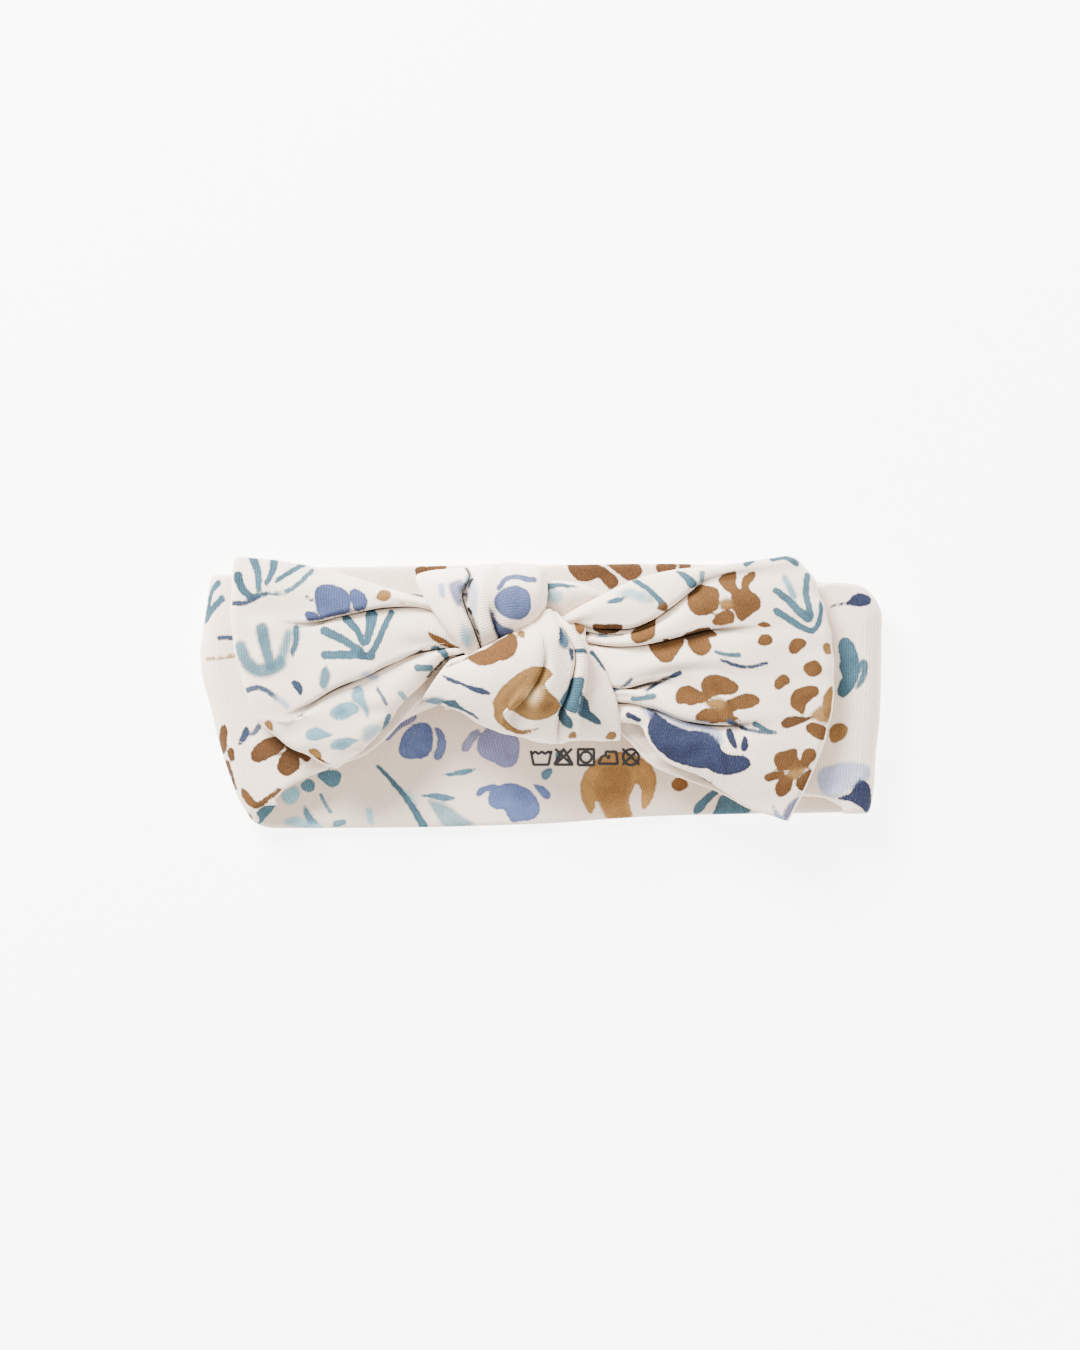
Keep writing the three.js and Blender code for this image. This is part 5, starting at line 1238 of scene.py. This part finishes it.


class Nodes:
    """Short calls for building a node tree."""

    def __init__(self, tree):
        self.tree = tree

    def add(self, kind, values=None, **settings):
        """A node with its settings, and its inputs linked or set."""
        node = self.tree.nodes.new(kind)
        for key, value in settings.items():
            setattr(node, key, value)
        for key, value in (values or {}).items():
            self.feed(value, node.inputs[key])
        return node

    def feed(self, value, socket):
        """Links a socket to another, or sets it."""
        if isinstance(value, bpy.types.NodeSocket):
            self.tree.links.new(value, socket)
        else:
            socket.default_value = value

    def math(self, operation, a, b=0.0, c=0.0):
        """One sum, such as MULTIPLY or SINE."""
        return self.add("ShaderNodeMath", {0: a, 1: b, 2: c}, operation=operation).outputs[0]

    def noise(self, vector, scale, detail=2.0):
        """Soft random values from 0 to 1."""
        values = {"Vector": vector, "Scale": scale, "Detail": detail}
        return self.add("ShaderNodeTexNoise", values, noise_dimensions="3D").outputs["Fac"]

    def ramp(self, value, low, high, to_low=0.0, to_high=1.0):
        """A smooth step from to_low at low to to_high at high."""
        values = {"Value": value, "From Min": low, "From Max": high, "To Min": to_low, "To Max": to_high}
        return self.add("ShaderNodeMapRange", values, interpolation_type="SMOOTHSTEP").outputs["Result"]

    def mix(self, share, a, b, blend="MIX"):
        """Two colours blended."""
        node = self.add("ShaderNodeMix", data_type="RGBA", blend_type=blend)
        colours = [s for s in node.inputs if s.type == "RGBA"]
        for socket, value in ((node.inputs[0], share), (colours[0], a), (colours[1], b)):
            self.feed(value, socket)
        return next(s for s in node.outputs if s.type == "RGBA")

    def grey(self, value):
        """A colour that is the same value in all three parts."""
        return self.add("ShaderNodeCombineColor", {"Red": value, "Green": value, "Blue": value}).outputs[0]

    def group(self, tree, values):
        """One of the shared effects, with its inputs."""
        return self.add("ShaderNodeGroup", values, node_tree=tree)


def new_group(name, inputs, outputs):
    """An empty effect, with its sockets, and the calls for filling it."""
    group = bpy.data.node_groups.new(name, "ShaderNodeTree")
    for label, kind in inputs:
        group.interface.new_socket(label, in_out="INPUT", socket_type=kind)
    for label, kind in outputs:
        group.interface.new_socket(label, in_out="OUTPUT", socket_type=kind)
    n = Nodes(group)
    return group, n, n.add("NodeGroupInput"), n.add("NodeGroupOutput")


def print_group():
    """Watercolour ink on cloth: wobbly edges, darker rims, pooled pigment, and the knit's grain in it."""
    group, n, given, out = new_group(
        "watercolour_print",
        [("Cloth", "NodeSocketColor"), ("Ink", "NodeSocketColor"), ("Ink Distance", "NodeSocketFloat"),
         ("Softness", "NodeSocketFloat"), ("Flat Position", "NodeSocketVector")],
        [("Color", "NodeSocketColor")],
    )
    flat = given.outputs["Flat Position"]
    wobble = n.math("MULTIPLY", n.math("SUBTRACT", n.noise(flat, 7.0, 3.0), 0.5), 0.75)
    distance = n.math("ADD", given.outputs["Ink Distance"], wobble)
    reach = n.math("MULTIPLY_ADD", given.outputs["Softness"], 1.5, 0.1)
    mask = n.ramp(distance, n.math("MULTIPLY", reach, -1.0), reach, 1.0, 0.0)
    rim = n.ramp(distance, -0.95, -0.15)
    pooled = n.noise(flat, 1.9, 3.0)
    rib = n.math("SINE", n.math("MULTIPLY", n.add("ShaderNodeSeparateXYZ", {0: flat}).outputs[0], RIBS))
    grain = n.math("ADD", n.math("MULTIPLY", rib, 0.13), n.math("MULTIPLY", n.noise(flat, 19.0, 2.0), 0.8))
    tone = n.math("ADD", n.math("MULTIPLY_ADD", pooled, 0.9, 0.2), grain)
    tone = n.math("MULTIPLY", tone, n.math("MULTIPLY_ADD", rim, -0.14, 1.03))
    ink = n.mix(1.0, given.outputs["Ink"], n.grey(tone), "MULTIPLY")
    specks = n.ramp(n.noise(flat, 26.0, 2.0), 0.5, 0.75, 0.0, 0.04)
    cover = n.math("MULTIPLY", mask, n.math("SUBTRACT", 1.0, specks))
    n.tree.links.new(n.mix(cover, given.outputs["Cloth"], ink), out.inputs["Color"])
    return group


def knit_group():
    """Fine ribs of single jersey, with the small loops along them and a little fuzz."""
    group, n, given, out = new_group(
        "jersey_knit",
        [("Flat Position", "NodeSocketVector")],
        [("Height", "NodeSocketFloat"), ("Shade", "NodeSocketFloat")],
    )
    flat = given.outputs["Flat Position"]
    parts = n.add("ShaderNodeSeparateXYZ", {0: flat})
    drift = n.math("MULTIPLY", n.noise(flat, 3.0), 1.4)
    rib = n.math("SINE", n.math("MULTIPLY_ADD", parts.outputs[0], RIBS, drift))
    loops = n.math("SINE", n.math("MULTIPLY_ADD", parts.outputs[1], STITCHES, n.math("MULTIPLY", rib, 1.2)))
    fine = n.math("MULTIPLY", n.noise(flat, 34.0, 3.0), 0.7)
    fuzz = n.math("MULTIPLY_ADD", n.noise(flat, 13.0, 3.0), 0.5, fine)
    height = n.math("MULTIPLY_ADD", rib, 0.34, n.math("MULTIPLY_ADD", loops, 0.16, fuzz))
    n.tree.links.new(height, out.inputs["Height"])
    n.tree.links.new(n.math("MULTIPLY_ADD", height, 0.22, 0.8), out.inputs["Shade"])
    return group


PRINT = print_group()
KNIT = knit_group()


def jersey(name, cloth_colour, shade=1.0):
    """Printed jersey. shade below 1 is for cloth that is bunched out of the light."""
    material = bpy.data.materials.new(name)
    material.use_nodes = True
    n = Nodes(material.node_tree)
    principled = material.node_tree.nodes["Principled BSDF"].inputs
    flat = n.add("ShaderNodeUVMap", uv_map="cloth").outputs["UV"]
    ink = n.add("ShaderNodeAttribute", attribute_name="ink_colour").outputs
    distance = n.add("ShaderNodeAttribute", attribute_name="ink_distance").outputs["Fac"]
    crease = n.add("ShaderNodeAttribute", attribute_name="crease").outputs["Fac"]
    knit = n.group(KNIT, {"Flat Position": flat}).outputs
    mottle = n.math("MULTIPLY_ADD", n.noise(flat, 0.8), 0.06, 0.965)
    tone = n.math("MULTIPLY", n.math("MULTIPLY", mottle, knit["Shade"]), shade)
    cloth = n.mix(1.0, (*cloth_colour, 1.0), n.grey(tone), "MULTIPLY")
    printed = n.group(PRINT, {"Cloth": cloth, "Ink": ink["Color"], "Ink Distance": distance,
                              "Softness": ink["Alpha"], "Flat Position": flat}).outputs["Color"]
    # painted shade: the colour is darkened by the crease attribute, most at the bottom of a tuck
    crease_shade = n.math("MULTIPLY_ADD", n.math("POWER", crease, 1.3), -CREASE_PAINTED_SHADE, 1.0)
    n.feed(n.mix(1.0, printed, n.grey(crease_shade), "MULTIPLY"), principled["Base Color"])
    bump = n.add("ShaderNodeBump", {"Height": knit["Height"], "Strength": 0.8, "Distance": BUMP_HEIGHT})
    n.feed(bump.outputs["Normal"], principled["Normal"])
    for label, value in (("Roughness", 0.86), ("Specular IOR Level", 0.04), ("Sheen Weight", 0.01),
                         ("Sheen Roughness", 0.5)):
        principled[label].default_value = value
    return material


def plain(name, colour, roughness, speck=0.08, scale=900.0):
    """A plain finish with a slight variation of tone."""
    material = bpy.data.materials.new(name)
    material.use_nodes = True
    n = Nodes(material.node_tree)
    where = n.add("ShaderNodeTexCoord").outputs["Object"]
    tone = n.math("MULTIPLY_ADD", n.noise(where, scale), speck, 1 - speck / 2)
    principled = material.node_tree.nodes["Principled BSDF"].inputs
    n.feed(n.mix(1.0, (*colour, 1.0), n.grey(tone), "MULTIPLY"), principled["Base Color"])
    principled["Roughness"].default_value = roughness
    return material


# ---- building ----
ROOT_BEFORE, ROOT_AFTER, ROOT_Z = 2, 11, 20  # either side of a loop's root line, and the height of those two points

outside = jersey("printed_jersey", CREAM)
# the inside copy is painted darker, as shade for cloth bunched out of the light in the knot
inside = jersey("printed_jersey_inside", CREAM, 0.9)
thread = plain("sewing_thread", srgb("f3eee6"), 0.7)
film = plain("transfer_ink", srgb("17171a"), 0.38, 0.2, 500.0)


def cloth_piece(cloth, nodes, flat, held, rests_on, material=outside, slot="printed_jersey"):
    """Makes the piece in its material, and hides the nodes it stands for."""
    obj = cloth.build(material)
    outward(obj.data)
    if nodes:
        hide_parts(*nodes)
    return obj


def across(middle, direction):
    """Two points either side of a joint's line, in metres."""
    start = [(m - d * ROOT_BEFORE) * MM for m, d in zip(middle, direction)]
    end = [(m + d * ROOT_AFTER) * MM for m, d in zip(middle, direction)]
    return (*start, ROOT_Z * MM), (*end, ROOT_Z * MM)


def build_band():
    """The rear half lies on the floor; each front piece is drawn out between it and the knot."""
    rear, left, right = make_band()
    nodes = ("rear_band_outer_ply", "rear_band_inner_ply", "left_end_fold", "right_end_fold")
    rear_obj = cloth_piece(rear, nodes, (70, 200), "laid", ["floor"])
    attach(rear_obj, "rear_band")
    label = make_care_label(rear, film)
    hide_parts("care_label_film")
    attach(label, "rear_band")
    for cloth, side, sign in ((left, "left", -1), (right, "right", 1)):
        nodes = (f"front_band_{side}_inner_ply", f"front_band_{side}_outer_ply")
        obj = cloth_piece(cloth, nodes, (70, 44), "gathered", ["band_rear"])
        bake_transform(obj)


def build_loops():
    """The two loops, each with its root in the knot."""
    left = make_loop("bow_loop_left", LEFT_FRONT, LEFT_BACK_TOP, LEFT_BACK_LOW, (2, 6),
                     left_loop_print(), 11)
    right = make_loop("bow_loop_right", RIGHT_FRONT, RIGHT_BACK_TOP, RIGHT_BACK_LOW, (2, 6, 10, 13),
                      right_loop_print(), 12)
    for cloth, side, flat, root, outward_way in (
        (left, "left", (62, 89), (-25.1, 17.0), (-0.774, -0.634)),
        (right, "right", (82, 100), (14.3, 7.5), (0.878, 0.479)),
    ):
        nodes = [f"{side}_loop_{part}" for part in ("front_ply", "back_ply", "fold")]
        obj = cloth_piece(cloth, nodes, flat, "folded", [f"band_front_{side}"])
        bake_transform(obj)


def build_knot():
    """Two visible wraps, the small fold behind them, the wrap under the band, and the cloth inside."""
    upper = make_lobe("knot_upper", KNOT_UPPER, knot_upper_print(), 41, lips=(2, 5))
    lower = make_lobe("knot_lower", KNOT_LOWER, knot_lower_print(), 42, lips=(5, 9, 13))
    rear = make_lobe("knot_rear", KNOT_REAR, knot_rear_print(), 43)
    back_lines = [[(x, 27, 9.3), (x - 1, 10, 9.2), (x, -7, 9.3)] for x in (-14, -7, 0, 7, 13)]
    back = make_lobe("knot_back", back_lines, [], 44, half=0.6, calm=0.05)
    gather = make_bundle("band_gather_cloth", -25, 20.5, -4.5, 15.5, 13.2, 2.4, 81)
    bow = make_bundle("bow_centre_cloth", -18, 12, 0, 20, 19, 3.0, 82)
    hidden = (inside, "printed_jersey_inside")
    made = [
        cloth_piece(upper, ("knot_upper_wrap",), (34, 42), "folded", ["bow_centre_cloth"]),
        cloth_piece(lower, ("knot_lower_wrap",), (56, 48), "folded", ["bow_centre_cloth"]),
        cloth_piece(rear, (), (17, 20), "folded", ["bow_centre_cloth"]),
        cloth_piece(back, ("knot_back_wrap",), (28, 34), "folded", ["band_gather_cloth"], *hidden),
        cloth_piece(gather, ("band_gather", "band_join_allowance"), (30, 55), "gathered", ["knot_back"],
                    *hidden),
        cloth_piece(bow, ("bow_centre",), (38, 37), "gathered", ["band_gather_cloth"], *hidden),
    ]
    for obj in made:
        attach(obj, "knot")


def finish_threads():
    """The two rows of stitches keep their own shape and get a finish."""
    for name in ("band_join_thread", "tack_thread"):
        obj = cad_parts[name]
        obj.data.materials.clear()
        obj.data.materials.append(thread)


# ---- stage ----
CAMERA_LENS = 85.0
CAMERA_ABOVE = 0.842  # from the lens to the middle of the cloth
CAMERA_AT = (0.0001, 0.00436)
CLOTH_MIDDLE = 0.012
PAPER_GLOW = 5.0  # the sheet is lit from behind, as a light table is


def area_light(name, at, size, power):
    """A square soft light that points at the middle of the floor."""
    data = bpy.data.lights.new(name, "AREA")
    data.shape = "SQUARE"
    data.size = size
    data.energy = power
    lamp = bpy.data.objects.new(name, data)
    lamp.location = at
    lamp.rotation_mode = "QUATERNION"
    lamp.rotation_quaternion = (-Vector(at)).to_track_quat("-Z", "Y")
    bpy.context.scene.collection.objects.link(lamp)


def build_stage():
    """A white sheet, two soft lights, a pale surround and the camera."""
    bpy.ops.mesh.primitive_plane_add(size=6, location=(0, 0, -0.0003))
    floor = bpy.context.object
    floor.name = "floor"
    paper = plain("white_paper", (0.9, 0.9, 0.9), 0.9, 0.01, 30.0)
    glow = paper.node_tree.nodes["Principled BSDF"].inputs
    glow["Emission Color"].default_value = (1, 1, 1, 1)
    glow["Emission Strength"].default_value = PAPER_GLOW
    floor.data.materials.append(paper)
    world = bpy.data.worlds.new("studio")
    world.use_nodes = True
    background = world.node_tree.nodes["Background"].inputs
    background["Color"].default_value = (1, 0.975, 0.94, 1)
    background["Strength"].default_value = 1.3
    bpy.context.scene.world = world
    area_light("window", (-0.55, 0.85, 0.66), 0.5, 80.0)
    area_light("fill", (0.8, -0.3, 0.9), 0.9, 8.0)
    camera = bpy.data.objects.new("camera", bpy.data.cameras.new("camera"))
    camera.data.lens = CAMERA_LENS
    camera.data.clip_start = 0.01
    camera.location = (*CAMERA_AT, CLOTH_MIDDLE + CAMERA_ABOVE)
    bpy.context.scene.collection.objects.link(camera)
    bpy.context.scene.camera = camera


build_stage()
build_band()
build_loops()
build_knot()
finish_threads()
